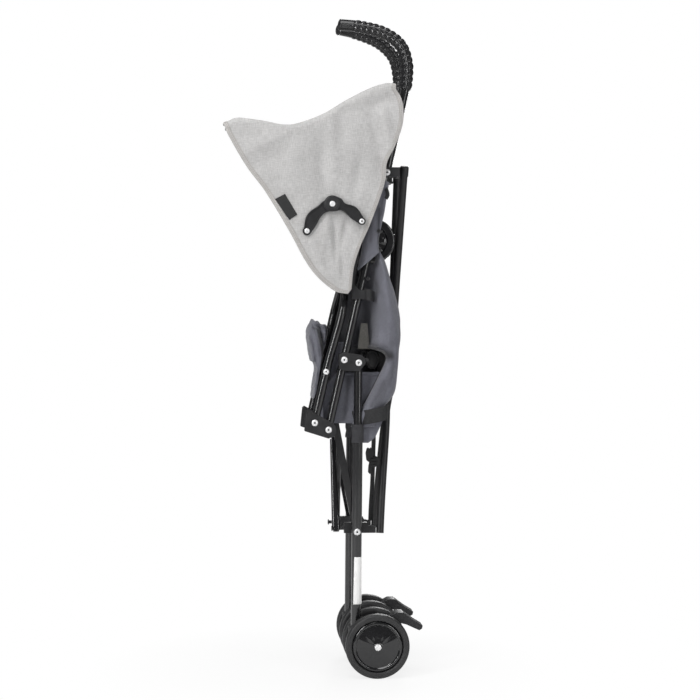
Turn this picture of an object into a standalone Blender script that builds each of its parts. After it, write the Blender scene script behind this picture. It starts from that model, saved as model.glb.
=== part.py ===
# Folding lightweight stroller, shown folded and standing on its rear wheels.
# Lengths are in millimetres until the last step. X runs from the front of the stroller to its back,
# Y from its left side to its right, Z up. Heights are above the floor, X is measured from the rear axle,
# and FRAME_SHIFT moves the whole object so that its origin lies under the middle of its box.
import bpy
import bmesh
import math
import numpy as np
from mathutils import Vector

MM = 0.001
FRAME_SHIFT = 92.0

# Clearances
GAP = 0.3             # between two parts that touch
RUN_GAP = 1.0         # between two parts that pass each other
PIN_R = 3.0           # frame rivets
RIVET_HEAD_R = 5.4
RIVET_HEAD_T = 1.6

# Tubes
TUBE_R = 7.3          # handle tube and front leg
TUBE_WALL = 1.2
LEG_TOP_R = 7.4       # rear leg above its sleeve
LEG_R = 8.9           # rear leg below it
BAR_R = 6.2           # crossing bars behind the seat
TUBE_SIDES = 10
SIDE_Y = 70.0         # from the middle plane to the frame tubes

# Side view of the frame, folded
KNEE_H = (-82.6, 428.0)       # handle tube on the knee bracket
KNEE_L = (-106.6, 440.2)      # front leg on the knee bracket
HINGE_H = (-55.3, 549.4)      # hinge bracket on the handle tube
HINGE_R = (-30.1, 544.4)      # rear leg on the hinge bracket
FOOT = (-32.8, 249.9)         # foot bracket on the rear leg
LEAN_TOP = (19.0, 874.8)      # top bracket on the handle tube
AXLE_Z = 55.6                 # height of the rear axle, the radius of its wheels
END_PAST = 7.5                # tube past its last rivet

# Handle: the grip starts on the straight tube and curves over the top to its free end
GRIP_Z = 1020.0
# x, lean towards the middle plane, z
GRIP_CURVE = [(54.6, 0.5, 1040.0), (54.8, 2.5, 1066.3), (44.9, 9.0, 1097.9), (17.5, 21.0, 1121.2), (-22.9, 36.5, 1134.5),
              (-60.3, 50.0, 1140.3)]
GRIP_R = 10.4
GRIP_END_WALL = 3.0
GRIP_SIDES = 10

# Brackets: cheeks on both sides of the tubes
CHEEK_T = 3.7
CHEEK_GAP = 0.5               # between a tube's side and a cheek

# Rear wheels
REAR_WHEEL_R = AXLE_Z
REAR_WHEEL_Y = 35.0           # from the leg to the middle of each wheel
REAR_WHEEL_W = 22.0
HUB_R = 36.6
AXLE_R = 4.0
AXLE_CAP_R = 5.7
AXLE_CAP_T = 2.0
WHEEL_SIDES = 24

# Front wheels, folded up between the handles
FRONT_Y = 34.0                # from the middle plane to the front wheel pair
FRONT_WHEEL_R = 39.5
FRONT_WHEEL_W = 12.0
FRONT_WHEEL_Y = 18.0          # from the fork to the middle of each wheel
FRONT_AXLE_ALONG = 332.0      # along the front leg from its knee rivet
FRONT_TRAIL = 30.0
LEG_LENGTH = 276.0            # front leg from its knee rivet to its end
BEND = (118.0, 244.0)         # stretch of it that bends in
LINK_ALONG = 90.7             # side link's rivet on the front leg

SOCKET_WALL = 3.0
SOCKET_DEPTH = 32.0
LEG_FOOT_Z = 76.0             # lower end of the rear leg's tube
SLEEVE_Z = 420.0              # where the rear leg gets thicker, under its sleeve
BRAKE_PIVOT = (14.0, 90.0)
BRAKE_PIN_R = 2.5
BARREL_R = 6.0
LEVER_NECK = 8.0              # half width of the lever between its ears
PEDAL_HALF = 17.0
HUB_BOSS_W = 24.0
HOUSING_R = 11.0
STEM_R = 4.5
STEM_LENGTH = 18.0
FORK_HALF = 8.5
EAR_T = 4.0
CAP_ABOVE = 12.0              # crossing bar above its top pin
LEG_SWING = math.hypot(LEG_TOP_R, END_PAST) + RUN_GAP

# Crossing bars and folding brace
BAR_TOP = (48.8, 868.0)
BAR_TOP_Y = 54.0
BAR_FOOT = (17.0, 246.0)
BAR_FOOT_Y = 47.5
BAR_BOW = 6.8                 # each bar bows this far round the other one
BRACE_X = -66.0               # between the two halves of the brace
BRACE_T = 6.4
BRACE_W = 9.6
BRACE_Z = 253.0
BRACE_Y = 47.5
BRACE_LENGTH = 156.2
BRACE_FACE_X = -57.0          # front face of the foot bracket
LINK_Y = (52.6, 56.6)
LINK_W = 12.0

# Canopy
CANOPY_PIVOT = (-44.0, 682.0)
STAY_REAR = (-26.8, 788.3)
STAY_ELBOW = (-77.6, 817.9)
STAY_FRONT = (-121.2, 771.3)
BOW_R = 2.6
BOW_Y = SIDE_Y + 18.0
STRUT_T = 3.2
HOOD_PIN_R = 2.3
STAY_Y = SIDE_Y + 29.0
STAY_T = 3.0
CLOTH_T = 2.4
CANOPY_SIDE_Y = SIDE_Y + 26.5          # side of the canopy, between its bow and its stay
CANOPY_LOW = [(-50.0, 664.0), (-73.0, 669.5), (-103.0, 694.0), (-125.0, 724.0), (-151.0, 772.0), (-192.0, 840.0),
              (-226.0, 878.0), (-264.0, 955.0)]
CANOPY_BACK = [(-44.5, 671.0), (-40.5, 709.0), (-24.0, 761.0), (13.5, 858.0), (32.0, 926.0), (45.0, 971.0),
               (45.0, 997.0), (32.0, 1026.0)]
CANOPY_TOP = [(32.0, 1026.0), (17.0, 1027.0), (-42.0, 1003.0), (-72.0, 983.0), (-99.0, 969.0), (-151.0, 952.5),
              (-196.0, 960.0), (-242.0, 964.0), (-263.0, 957.0)]
CANOPY_SAG = 55.0             # the top hangs this far down between the folded sides
# folds in the cloth: from x, z to x, z, then half width and depth
CANOPY_FOLDS = [(-77.0, 790.0, -74.0, 735.0, 14.0, 4.0), (-103.0, 935.0, -98.0, 850.0, 22.0, 3.6), (-35.0, 965.0, -62.0, 880.0, 22.0, 3.4),
                (8.0, 990.0, 0.0, 915.0, 14.0, 3.6), (-150.0, 925.0, -172.0, 892.0, 18.0, 2.6)]
SEAT_FOLDS = [(2.0, 715.0, 22.0, 655.0, 12.0, 4.5), (4.0, 640.0, 18.0, 560.0, 12.0, 4.5), (28.0, 530.0, 0.0, 450.0, 12.0, 4.0),
              (26.0, 600.0, 33.0, 510.0, 9.0, -3.0)]

# Seat, folded between the frame's sides
SEAT_BACK_LOW = 432.0
SEAT_BACK_TOP = 690.0         # in the middle
SEAT_WING_TOP = 859.0         # beside the handle tubes
SEAT_REAR_EDGE = [(432.0, 4.0), (469.0, 16.0), (485.0, 30.0), (502.0, 35.0), (540.0, 39.0), (606.0, 41.5),
                  (624.0, 41.0), (657.0, 35.0), (692.0, 25.0), (719.0, 16.0), (737.0, 9.0), (800.0, 13.0), (860.0, 22.0)]
SEAT_MIDDLE = [(432.0, -8.0), (470.0, -4.0), (520.0, 3.0), (600.0, 8.0), (690.0, 6.0)]
SEAT_BASE = [(-9.7, 436.0), (-50.0, 470.0), (-78.0, 540.0), (-98.0, 600.0), (-112.0, 618.0)]
SEAT_BASE_Y = 47.0
SIDES = {"left": -1, "right": 1}

materials = {
    "handle_paint": ((0.020, 0.020, 0.021), 0.35, 0.6),
    "leg_paint": ((0.020, 0.020, 0.021), 0.35, 0.6),
    "bar_paint": ((0.016, 0.016, 0.017), 0.42, 0.6),
    "bracket_plastic": ((0.022, 0.022, 0.023), 0.5, 0.0),
    "grip_foam": ((0.018, 0.018, 0.019), 0.7, 0.0),
    "tyre_rubber": ((0.020, 0.020, 0.020), 0.75, 0.0),
    "hub_plastic": ((0.014, 0.014, 0.015), 0.25, 0.0),
    "axle_steel": ((0.62, 0.62, 0.63), 0.3, 1.0),
    "canopy_cloth": ((0.50, 0.49, 0.475), 0.9, 0.0),
    "seat_cloth": ((0.17, 0.175, 0.20), 0.85, 0.0),
    "buckle_plastic": ((0.015, 0.015, 0.016), 0.4, 0.0),
}


def unit(p, q):
    """Unit vector in the side view from p to q."""
    dx, dz = q[0] - p[0], q[1] - p[1]
    size = math.hypot(dx, dz)
    return dx / size, dz / size


ALONG = unit(KNEE_H, LEAN_TOP)        # up the handle tube, and up the folded front leg
ACROSS = (ALONG[1], -ALONG[0])        # square to it, towards the back


def on_leg(along, across=0.0):
    """Side-view point beside the folded front leg."""
    return (KNEE_L[0] + ALONG[0] * along + ACROSS[0] * across,
            KNEE_L[1] + ALONG[1] * along + ACROSS[1] * across)


def on_handle(z):
    """X of the straight handle tube's centre line at a height."""
    return KNEE_H[0] + (z - KNEE_H[1]) * ALONG[0] / ALONG[1]


def on_rear_leg(z):
    """X of the rear leg's centre line at a height."""
    return HINGE_R[0] + (HINGE_R[1] - z) * (FOOT[0] - HINGE_R[0]) / (HINGE_R[1] - FOOT[1])


FRONT_AXLE = on_leg(FRONT_AXLE_ALONG, FRONT_TRAIL)
LINK_TOP = on_leg(LINK_ALONG)


def clear_scene():
    for obj in list(bpy.data.objects):
        bpy.data.objects.remove(obj, do_unlink=True)


def make_material(name):
    color, roughness, metallic = materials[name]
    mat = bpy.data.materials.new(name)
    mat.use_nodes = True
    shader = mat.node_tree.nodes["Principled BSDF"]
    shader.inputs["Base Color"].default_value = (*color, 1.0)
    shader.inputs["Roughness"].default_value = roughness
    shader.inputs["Metallic"].default_value = metallic
    return mat


def add_joint(name, at, parent=None):
    """Empty on a joint's axis, at (x, y, z) in millimetres; bodies hang from it."""
    empty = bpy.data.objects.new(name, None)
    bpy.context.collection.objects.link(empty)
    empty["at"] = at
    empty.parent = parent
    base = parent["at"] if parent else (0.0, 0.0, 0.0)
    empty.location = [(a - b) * MM for a, b in zip(at, base)]
    if parent is None:
        empty.location.x += FRAME_SHIFT * MM
    return empty


def mesh_object(name, bm, body, side):
    """Object from a bmesh in millimetres built for the right side, mirrored for the left."""
    if side < 0:
        bmesh.ops.scale(bm, vec=(1, -1, 1), verts=bm.verts)
        bmesh.ops.reverse_faces(bm, faces=bm.faces)
    at = Vector(body["at"])
    for v in bm.verts:
        v.co = (v.co - at) * MM
    mesh = bpy.data.meshes.new(name)
    bm.to_mesh(mesh)
    bm.free()
    obj = bpy.data.objects.new(name, mesh)
    bpy.context.collection.objects.link(obj)
    obj.parent = body
    return obj


def node(name, shapes, body, material, side=1, cuts=(), pins=(), smooth=40.0):
    """One sub-part: its shapes joined into one solid, the cuts taken out, and its pins added last."""
    obj = mesh_object(name, shapes[0], body, side)
    obj.data.materials.append(bpy.data.materials[material])
    tools = [(shape, "UNION") for shape in shapes[1:]] + [(cut, "DIFFERENCE") for cut in cuts]
    tools += [(pin, "UNION") for pin in pins]
    for number, (shape, operation) in enumerate(tools):
        tool = mesh_object(f"{name}_tool{number}", shape, body, side)
        tool.hide_render = True
        tool.display_type = "WIRE"
        boolean = obj.modifiers.new(f"tool{number}", "BOOLEAN")
        boolean.operation = operation
        boolean.solver = "EXACT"
        boolean.object = tool
    obj.data.shade_smooth()
    obj.data.set_sharp_from_angle(angle=math.radians(smooth))
    return obj


def smooth_path(points, per_span=4):
    """Catmull-Rom curve through 3-D points."""
    pts = [np.array(p, float) for p in points]
    pts = [2 * pts[0] - pts[1]] + pts + [2 * pts[-1] - pts[-2]]
    out = []
    for a, b, c, d in zip(pts, pts[1:], pts[2:], pts[3:]):
        for k in range(per_span):
            t = k / per_span
            out.append(0.5 * (2 * b + (c - a) * t + (2 * a - 5 * b + 4 * c - d) * t ** 2
                              + (3 * b - a - 3 * c + d) * t ** 3))
    out.append(pts[-2])
    return out


def rings(path, radii, sides):
    """Circles of points square to a path, turned as little as possible from one to the next."""
    path = [Vector(p) for p in path]
    ahead = [(path[min(i + 1, len(path) - 1)] - path[max(i - 1, 0)]).normalized() for i in range(len(path))]
    u = ahead[0].orthogonal().normalized()
    if abs(ahead[0].y) < 0.9:
        u = (Vector((0, 1, 0)) - ahead[0] * ahead[0].y).normalized()
    out = []
    for i, point in enumerate(path):
        u = (u - ahead[i] * u.dot(ahead[i])).normalized()
        v = ahead[i].cross(u)
        angles = [2 * math.pi * (k + 0.5) / sides for k in range(sides)]
        out.append([point + (u * math.cos(a) + v * math.sin(a)) * radii[i] for a in angles])
    return out


def skin(bm, loops, closed):
    """Quads between loops of points; the ends are capped, or joined into a ring if closed."""
    loops = [[bm.verts.new(p) for p in loop] for loop in loops]
    pairs = list(zip(loops, loops[1:] + loops[:1] if closed else loops[1:]))
    for a, b in pairs:
        for k in range(len(a)):
            j = (k + 1) % len(a)
            bm.faces.new((a[k], a[j], b[j], b[k]))
    if not closed:
        bm.faces.new(list(reversed(loops[0])))
        bm.faces.new(loops[-1])
    return bm


def rod(path, radius, sides=TUBE_SIDES):
    """Solid round bar along a path; radius is one number or one for each point."""
    radii = radius if isinstance(radius, (list, tuple)) else [radius] * len(path)
    return skin(bmesh.new(), rings(path, radii, sides), closed=False)


def tube(path, radius, wall=TUBE_WALL, sides=TUBE_SIDES, end_wall=None):
    """Hollow tube along a path, open at both ends, or closed at its last one by end_wall."""
    outer = rings(path, [radius] * len(path), sides)
    inner = rings(path, [radius - wall] * len(path), sides)
    if end_wall is None:
        return skin(bmesh.new(), outer + inner[::-1], closed=True)
    back = (Vector(path[-1]) - Vector(path[-2])).normalized() * end_wall
    inner[-1] = [p - back for p in inner[-1]]
    return skin(bmesh.new(), inner[::-1] + outer, closed=False)


def across(at, y0, y1, radius, sides=8):
    """Cylinder along Y at a side-view point."""
    return rod([(at[0], y0, at[1]), (at[0], y1, at[1])], radius, sides)


def bore_r(radius, sides=8):
    """Radius of a faceted hole whose flats clear a round part by the touching gap."""
    return (radius + GAP) / math.cos(math.pi / sides)


def rivet(at, y0, y1, radius=PIN_R):
    """Rivet along Y through cheeks whose outer faces are at y0 and y1, with a head on both."""
    crown = RIVET_HEAD_R - 1.2
    sunk = 0.4
    stations = [(y0 - RIVET_HEAD_T, crown), (y0 - RIVET_HEAD_T * 0.4, RIVET_HEAD_R), (y0 + sunk, RIVET_HEAD_R),
                (y0 + sunk * 1.5, radius), (y1 - sunk * 1.5, radius), (y1 - sunk, RIVET_HEAD_R),
                (y1 + RIVET_HEAD_T * 0.4, RIVET_HEAD_R), (y1 + RIVET_HEAD_T, crown)]
    return rod([(at[0], y, at[1]) for y, _ in stations], [r for _, r in stations], 8)


def slab(outline, y0, y1):
    """Side-view outline, counter-clockwise, as a plate from y0 to y1."""
    bm = bmesh.new()
    loops = [[Vector((x, y, z)) for x, z in outline] for y in (y1, y0)]
    return skin(bm, loops, closed=False)


def block(x, y, z):
    """Box between pairs of x, y and z."""
    return slab([(x[0], z[0]), (x[1], z[0]), (x[1], z[1]), (x[0], z[1])], y[0], y[1])


def capsule(p, q, radius, y0, y1, steps=6):
    """Flat bar with round ends from p to q in the side view."""
    dx, dz = unit(p, q)
    base = math.atan2(dz, dx)
    outline = []
    for centre, start in ((q, base - math.pi / 2), (p, base + math.pi / 2)):
        for k in range(steps + 1):
            a = start + math.pi * k / steps
            outline.append((centre[0] + radius * math.cos(a), centre[1] + radius * math.sin(a)))
    return slab(outline, y0, y1)


def turned(profile, at, middle_y, sides=WHEEL_SIDES):
    """Ring turned about Y: profile is (radius, offset along Y) all the way round its section."""
    bm = bmesh.new()
    loops = []
    for k in range(sides):
        a = 2 * math.pi * (k + 0.5) / sides
        loops.append([Vector((at[0] + r * math.cos(a), middle_y + w, at[1] + r * math.sin(a))) for r, w in profile])
    skin(bm, loops, closed=True)
    bmesh.ops.recalc_face_normals(bm, faces=bm.faces)
    return bm


def sheet(grid, thickness):
    """Closed thin solid on a grid of points; it grows by half its thickness to both sides."""
    grid = np.array(grid, float)
    du = np.gradient(grid, axis=0)
    dv = np.gradient(grid, axis=1)
    normal = np.cross(du, dv)
    normal /= np.linalg.norm(normal, axis=2, keepdims=True) + 1e-12
    front = grid + normal * thickness / 2
    back = grid - normal * thickness / 2
    bm = bmesh.new()
    rows, cols = grid.shape[:2]
    f = [[bm.verts.new(front[i, j]) for j in range(cols)] for i in range(rows)]
    b = [[bm.verts.new(back[i, j]) for j in range(cols)] for i in range(rows)]
    for i in range(rows - 1):
        for j in range(cols - 1):
            bm.faces.new((f[i][j], f[i + 1][j], f[i + 1][j + 1], f[i][j + 1]))
            bm.faces.new((b[i][j], b[i][j + 1], b[i + 1][j + 1], b[i + 1][j]))
    edge = [(i, 0) for i in range(rows)] + [(rows - 1, j) for j in range(1, cols)]
    edge += [(i, cols - 1) for i in range(rows - 2, -1, -1)] + [(0, j) for j in range(cols - 2, 0, -1)]
    for (i, j), (k, m) in zip(edge, edge[1:] + edge[:1]):
        bm.faces.new((f[i][j], b[i][j], b[k][m], f[k][m]))
    bmesh.ops.recalc_face_normals(bm, faces=bm.faces)
    return bm


# Cheeks of a bracket on a tube of radius r: their inner and outer faces
def cheeks(radius=TUBE_R):
    inner = SIDE_Y - radius - CHEEK_GAP
    outer = SIDE_Y + radius + CHEEK_GAP
    return inner - CHEEK_T, inner, outer, outer + CHEEK_T


def handle_path():
    foot = (KNEE_H[0] - ALONG[0] * END_PAST, KNEE_H[1] - ALONG[1] * END_PAST)
    curve = smooth_path([(x, SIDE_Y - lean, z) for x, lean, z in [(on_handle(GRIP_Z), 0.0, GRIP_Z)] + GRIP_CURVE], 2)
    return [(foot[0], SIDE_Y, foot[1])] + curve


def make_handle(side_name, side, body):
    path = handle_path()
    inside = [Vector(p) for p in path]
    inside[-1] = inside[-1] - (inside[-1] - inside[-2]).normalized() * (GRIP_END_WALL + GAP)
    holes = [across(at, SIDE_Y - 12, SIDE_Y + 12, bore_r(PIN_R)) for at in (KNEE_H, HINGE_H, LEAN_TOP)]
    node(f"{side_name}_handle_tube", [tube(inside, TUBE_R)], body, "handle_paint", side, holes)
    bore = TUBE_R + GAP
    grip = tube(path[1:], GRIP_R, GRIP_R - bore, GRIP_SIDES, end_wall=GRIP_END_WALL)
    node(f"{side_name}_handle_grip", [grip], body, "grip_foam", side)


def make_hinge_bracket(side_name, side, body):
    y0, y1, y2, y3 = cheeks()
    outline = [(-64.4, 534.0), (-52.5, 530.0), (-28.6, 530.0), (-18.0, 543.0), (-19.5, 553.0), (-24.6, 557.6),
               (-55.4, 563.2), (-64.4, 559.0)]
    handle_bore = rod([(on_handle(z), SIDE_Y, z) for z in (500.0, 600.0)], bore_r(TUBE_R, TUBE_SIDES))
    leg_slot = block((HINGE_R[0] - LEG_SWING, 0.0), (y1, y2), (500.0, 600.0))
    node(f"{side_name}_hinge_bracket", [slab(outline, y0, y3)], body, "bracket_plastic", side,
         [handle_bore, leg_slot], [rivet(at, y0, y3) for at in (HINGE_H, HINGE_R)])


def make_rear_leg(side_name, side, body):
    """Tube with a thinner top end, which its sleeve covers where the two sizes meet."""
    heights = [HINGE_R[1] + END_PAST, SLEEVE_Z + 1.0, SLEEVE_Z - 1.0, LEG_FOOT_Z]
    path = [(on_rear_leg(z), SIDE_Y, z) for z in heights]
    radii = [LEG_TOP_R, LEG_TOP_R, LEG_R, LEG_R]
    outer = rings(path, radii, TUBE_SIDES)
    inner = rings(path, [r - TUBE_WALL for r in radii], TUBE_SIDES)
    shape = skin(bmesh.new(), outer + inner[::-1], closed=True)
    holes = [across(at, SIDE_Y - 12, SIDE_Y + 12, bore_r(PIN_R)) for at in (HINGE_R, FOOT)]
    node(f"{side_name}_rear_leg", [shape], body, "leg_paint", side, holes)


def make_rear_housing(side_name, side, body):
    """Moulded carrier on the leg's foot: socket, arm to the axle, and two ears for the brake lever."""
    half = LEG_R + GAP + SOCKET_WALL
    leg_x = on_rear_leg(LEG_FOOT_Z)
    front, back = leg_x - half, leg_x + half
    ear_x, ear_z = BRAKE_PIVOT
    outline = [(front, LEG_FOOT_Z - 4), (front + 8, LEG_FOOT_Z - 14), (-8.0, AXLE_Z - 10), (0.0, AXLE_Z - 11.5),
               (7.5, AXLE_Z - 8.5), (11.0, AXLE_Z), (13.0, AXLE_Z + 12), (ear_x + 7.5, ear_z - 6), (ear_x + 8.5, ear_z),
               (ear_x + 5.5, ear_z + 7), (ear_x, ear_z + 9), (ear_x - 9, ear_z + 8), (back, LEG_FOOT_Z + 20),
               (back, LEG_FOOT_Z + SOCKET_DEPTH), (front, LEG_FOOT_Z + SOCKET_DEPTH)]
    socket = rod([(on_rear_leg(z), SIDE_Y, z) for z in (LEG_FOOT_Z + SOCKET_DEPTH + 10, LEG_FOOT_Z - GAP)],
                 bore_r(LEG_R, TUBE_SIDES))
    slot = block((ear_x - BARREL_R - RUN_GAP, ear_x + 30), (SIDE_Y - LEVER_NECK - GAP, SIDE_Y + LEVER_NECK + GAP),
                 (ear_z - BARREL_R - RUN_GAP, ear_z + 30))
    bore = across((0.0, AXLE_Z), SIDE_Y - 20, SIDE_Y + 20, bore_r(AXLE_R))
    pin = across(BRAKE_PIVOT, SIDE_Y - half + 1, SIDE_Y + half - 1, BRAKE_PIN_R)
    node(f"{side_name}_rear_wheel_carrier", [slab(outline, SIDE_Y - half, SIDE_Y + half)], body,
         "bracket_plastic", side, [socket, slot, bore], [pin])


def make_brake_lever(side_name, side, body):
    x, z = BRAKE_PIVOT
    pedal = [(x + 11.5, z + 1), (x + 24, z + 4.5), (x + 38, z), (x + 52, z - 7), (x + 61, z - 11.5), (x + 66, z - 8.5),
             (x + 67, z - 3.5), (x + 53, z + 5), (x + 40, z + 16), (x + 33, z + 22.5), (x + 22, z + 22.5), (x + 12, z + 16)]
    neck = [(x - 4, z - 5), (x + 5, z - 5), (x + 17, z + 6), (x + 17, z + 20), (x + 8, z + 12), (x - 4, z + 5)]
    y0, y1 = SIDE_Y - LEVER_NECK, SIDE_Y + LEVER_NECK
    node(f"{side_name}_brake_lever",
         [slab(pedal, SIDE_Y - PEDAL_HALF, SIDE_Y + PEDAL_HALF), slab(neck, y0, y1), across(BRAKE_PIVOT, y0, y1, BARREL_R)],
         body, "bracket_plastic", side, [across(BRAKE_PIVOT, y0 - 5, y1 + 5, bore_r(BRAKE_PIN_R))])


def axle(at, y0, y1, cap_r, cap_t):
    """Steel axle along Y with a domed cap at both ends; y0 and y1 are the caps' inner faces."""
    stations = [(y0 - cap_t, cap_r * 0.6), (y0 - cap_t * 0.5, cap_r), (y0 - 0.1, cap_r), (y0, AXLE_R),
                (y1, AXLE_R), (y1 + 0.1, cap_r), (y1 + cap_t * 0.5, cap_r), (y1 + cap_t, cap_r * 0.6)]
    return rod([(at[0], y, at[1]) for y, _ in stations], [r for _, r in stations], 10)


def make_rear_axle(side_name, side, body):
    reach = REAR_WHEEL_Y + HUB_BOSS_W / 2 + GAP
    shape = axle((0.0, AXLE_Z), SIDE_Y - reach, SIDE_Y + reach, AXLE_CAP_R, AXLE_CAP_T)
    node(f"{side_name}_rear_axle", [shape], body, "axle_steel", side)


def make_rear_wheel(side_name, place, side, body, offset):
    """Tyre and hub of one rear wheel; offset is its place along Y from the leg."""
    half = REAR_WHEEL_W / 2
    seat = bore_r(HUB_R, WHEEL_SIDES)
    tread = REAR_WHEEL_R / math.cos(math.pi / WHEEL_SIDES)     # one flat of the tread lies on the floor
    tyre = [(seat, -half + 3), (seat + 7, -half + 1.5), (tread - 3.5, -half), (tread, -half + 5),
            (tread, half - 5), (tread - 3.5, half), (seat + 7, half - 1.5), (seat, half - 3)]
    node(f"{side_name}_rear_tyre_{place}", [turned(tyre, (0.0, AXLE_Z), SIDE_Y + offset)], body, "tyre_rubber", side)
    bore = bore_r(AXLE_R, WHEEL_SIDES)
    boss = HUB_BOSS_W / 2
    hub = [(bore, -boss), (11.0, -boss), (HUB_R - 7, -half + 3.5), (HUB_R, -half + 5),
           (HUB_R, half - 5), (HUB_R - 7, half - 3.5), (11.0, boss), (bore, boss)]
    node(f"{side_name}_rear_hub_{place}", [turned(hub, (0.0, AXLE_Z), SIDE_Y + offset)], body, "hub_plastic", side)


def make_knee_bracket(side_name, side, body):
    """Two cheeks round the ends of the handle tube and the front leg, joined along their lower edge."""
    y0, y1, y2, y3 = cheeks()
    outline = [(-124.0, 425.9), (-83.1, 412.9), (-73.5, 416.0), (-69.0, 424.0), (-70.5, 434.0), (-76.5, 440.6),
               (-110.1, 459.0), (-116.9, 462.8), (-120.5, 460.0)]
    end_swing = math.hypot(TUBE_R, END_PAST) + 0.7
    across_knee = unit(outline[0], outline[1])
    up = (-across_knee[1], across_knee[0])
    low_h = (KNEE_H[0] - up[0] * end_swing, KNEE_H[1] - up[1] * end_swing)
    low_l = (KNEE_L[0] - up[0] * (end_swing + 3.4), KNEE_L[1] - up[1] * (end_swing + 3.4))
    line = unit(low_l, low_h)
    far = 80.0
    right = (low_h[0] + line[0] * far, low_h[1] + line[1] * far)
    left = (low_l[0] - line[0] * far, low_l[1] - line[1] * far)
    slot = [left, low_l, low_h, right, (right[0] + up[0] * far, right[1] + up[1] * far),
            (left[0] + up[0] * far, left[1] + up[1] * far)]
    node(f"{side_name}_knee_bracket", [slab(outline, y0, y3)], body, "bracket_plastic", side,
         [slab(slot, y1, y2)], [rivet(at, y0, y3) for at in (KNEE_H, KNEE_L)])


def make_front_leg(side_name, side, body):
    """Front leg, straight up from the knee, then bent in to the swivel housing."""
    stations = [-END_PAST] + [BEND[0] + (BEND[1] - BEND[0]) * k / 6 for k in range(7)] + [LEG_LENGTH]
    path = []
    for along in stations:
        t = min(max((along - BEND[0]) / (BEND[1] - BEND[0]), 0.0), 1.0)
        x, z = on_leg(along)
        path.append((x, SIDE_Y + (FRONT_Y - SIDE_Y) * t * t * (3 - 2 * t), z))
    holes = [across(at, SIDE_Y - 12, SIDE_Y + 12, bore_r(PIN_R)) for at in (KNEE_L,)]
    inner_end = LINK_Y[1] + RUN_GAP + RIVET_HEAD_T
    node(f"{side_name}_front_leg", [tube(path, TUBE_R)], body, "leg_paint", side, holes,
         [rivet(LINK_TOP, inner_end, SIDE_Y + TUBE_R - 0.2)])


def leg_rod(a0, a1, radius, sides=TUBE_SIDES):
    """Cylinder in line with the swivel, between two distances along the front leg."""
    ends = [on_leg(a) for a in (a0, a1)]
    return rod([(x, FRONT_Y, z) for x, z in ends], radius, sides)


def make_front_swivel(side_name, side, body, fork_body):
    """Housing on the leg's end, and the fork that turns in it."""
    top = LEG_LENGTH + 24.0
    housing = leg_rod(LEG_LENGTH - 22.0, top, HOUSING_R)
    cuts = [leg_rod(LEG_LENGTH - 40.0, LEG_LENGTH + GAP, bore_r(TUBE_R, TUBE_SIDES)),
            leg_rod(top - STEM_LENGTH - RUN_GAP, top + 10.0, bore_r(STEM_R, TUBE_SIDES))]
    node(f"{side_name}_front_swivel_housing", [housing], body, "bracket_plastic", side, cuts)
    low = top + RUN_GAP
    corners = [(low, -10.0), (low, 10.0), (FRONT_AXLE_ALONG - 8.0, FRONT_TRAIL + 8.5),
               (FRONT_AXLE_ALONG + 4.0, FRONT_TRAIL + 8.0), (FRONT_AXLE_ALONG + 9.0, FRONT_TRAIL),
               (FRONT_AXLE_ALONG + 4.0, FRONT_TRAIL - 9.0), (low + 24.0, -6.0), (low + 12.0, -10.0)]
    outline = [on_leg(a, c) for a, c in corners]
    fork = slab(outline, FRONT_Y - FORK_HALF, FRONT_Y + FORK_HALF)
    bmesh.ops.recalc_face_normals(fork, faces=fork.faces)
    bore = across(FRONT_AXLE, FRONT_Y - 30, FRONT_Y + 30, bore_r(AXLE_R))
    node(f"{side_name}_front_fork", [fork], fork_body, "bracket_plastic", side, [bore],
         [leg_rod(top - STEM_LENGTH, low + 3.0, STEM_R)])
    reach = FRONT_WHEEL_Y + FRONT_WHEEL_W / 2 + GAP
    node(f"{side_name}_front_axle", [axle(FRONT_AXLE, FRONT_Y - reach, FRONT_Y + reach, AXLE_CAP_R, 1.2)],
         fork_body, "axle_steel", side)


def make_front_wheel(side_name, place, side, body, offset):
    half = FRONT_WHEEL_W / 2
    radius = FRONT_WHEEL_R
    bore = bore_r(AXLE_R, 20)
    section = [(bore, -half), (9.0, -half), (radius - 15, -half + 2), (radius - 11, -half), (radius - 2.5, -half),
               (radius, -half + 2.5), (radius, half - 2.5), (radius - 2.5, half), (radius - 11, half),
               (radius - 15, half - 2), (9.0, half), (bore, half)]
    node(f"{side_name}_front_wheel_{place}", [turned(section, FRONT_AXLE, FRONT_Y + offset, 20)], body, "tyre_rubber", side)


def make_side_link(side_name, side, body):
    node(f"{side_name}_side_link", [capsule(FOOT, LINK_TOP, LINK_W / 2, *LINK_Y)], body, "bar_paint", side,
         [across(FOOT, LINK_Y[0] - 2, LINK_Y[1] + 2, bore_r(PIN_R))])


def fore_aft(x0, x1, y, z, radius, slope=0.0):
    """Cylinder along X, falling by slope."""
    return rod([(x0, y, z), (x1, y, z - (x1 - x0) * slope)], radius, 8)


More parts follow.
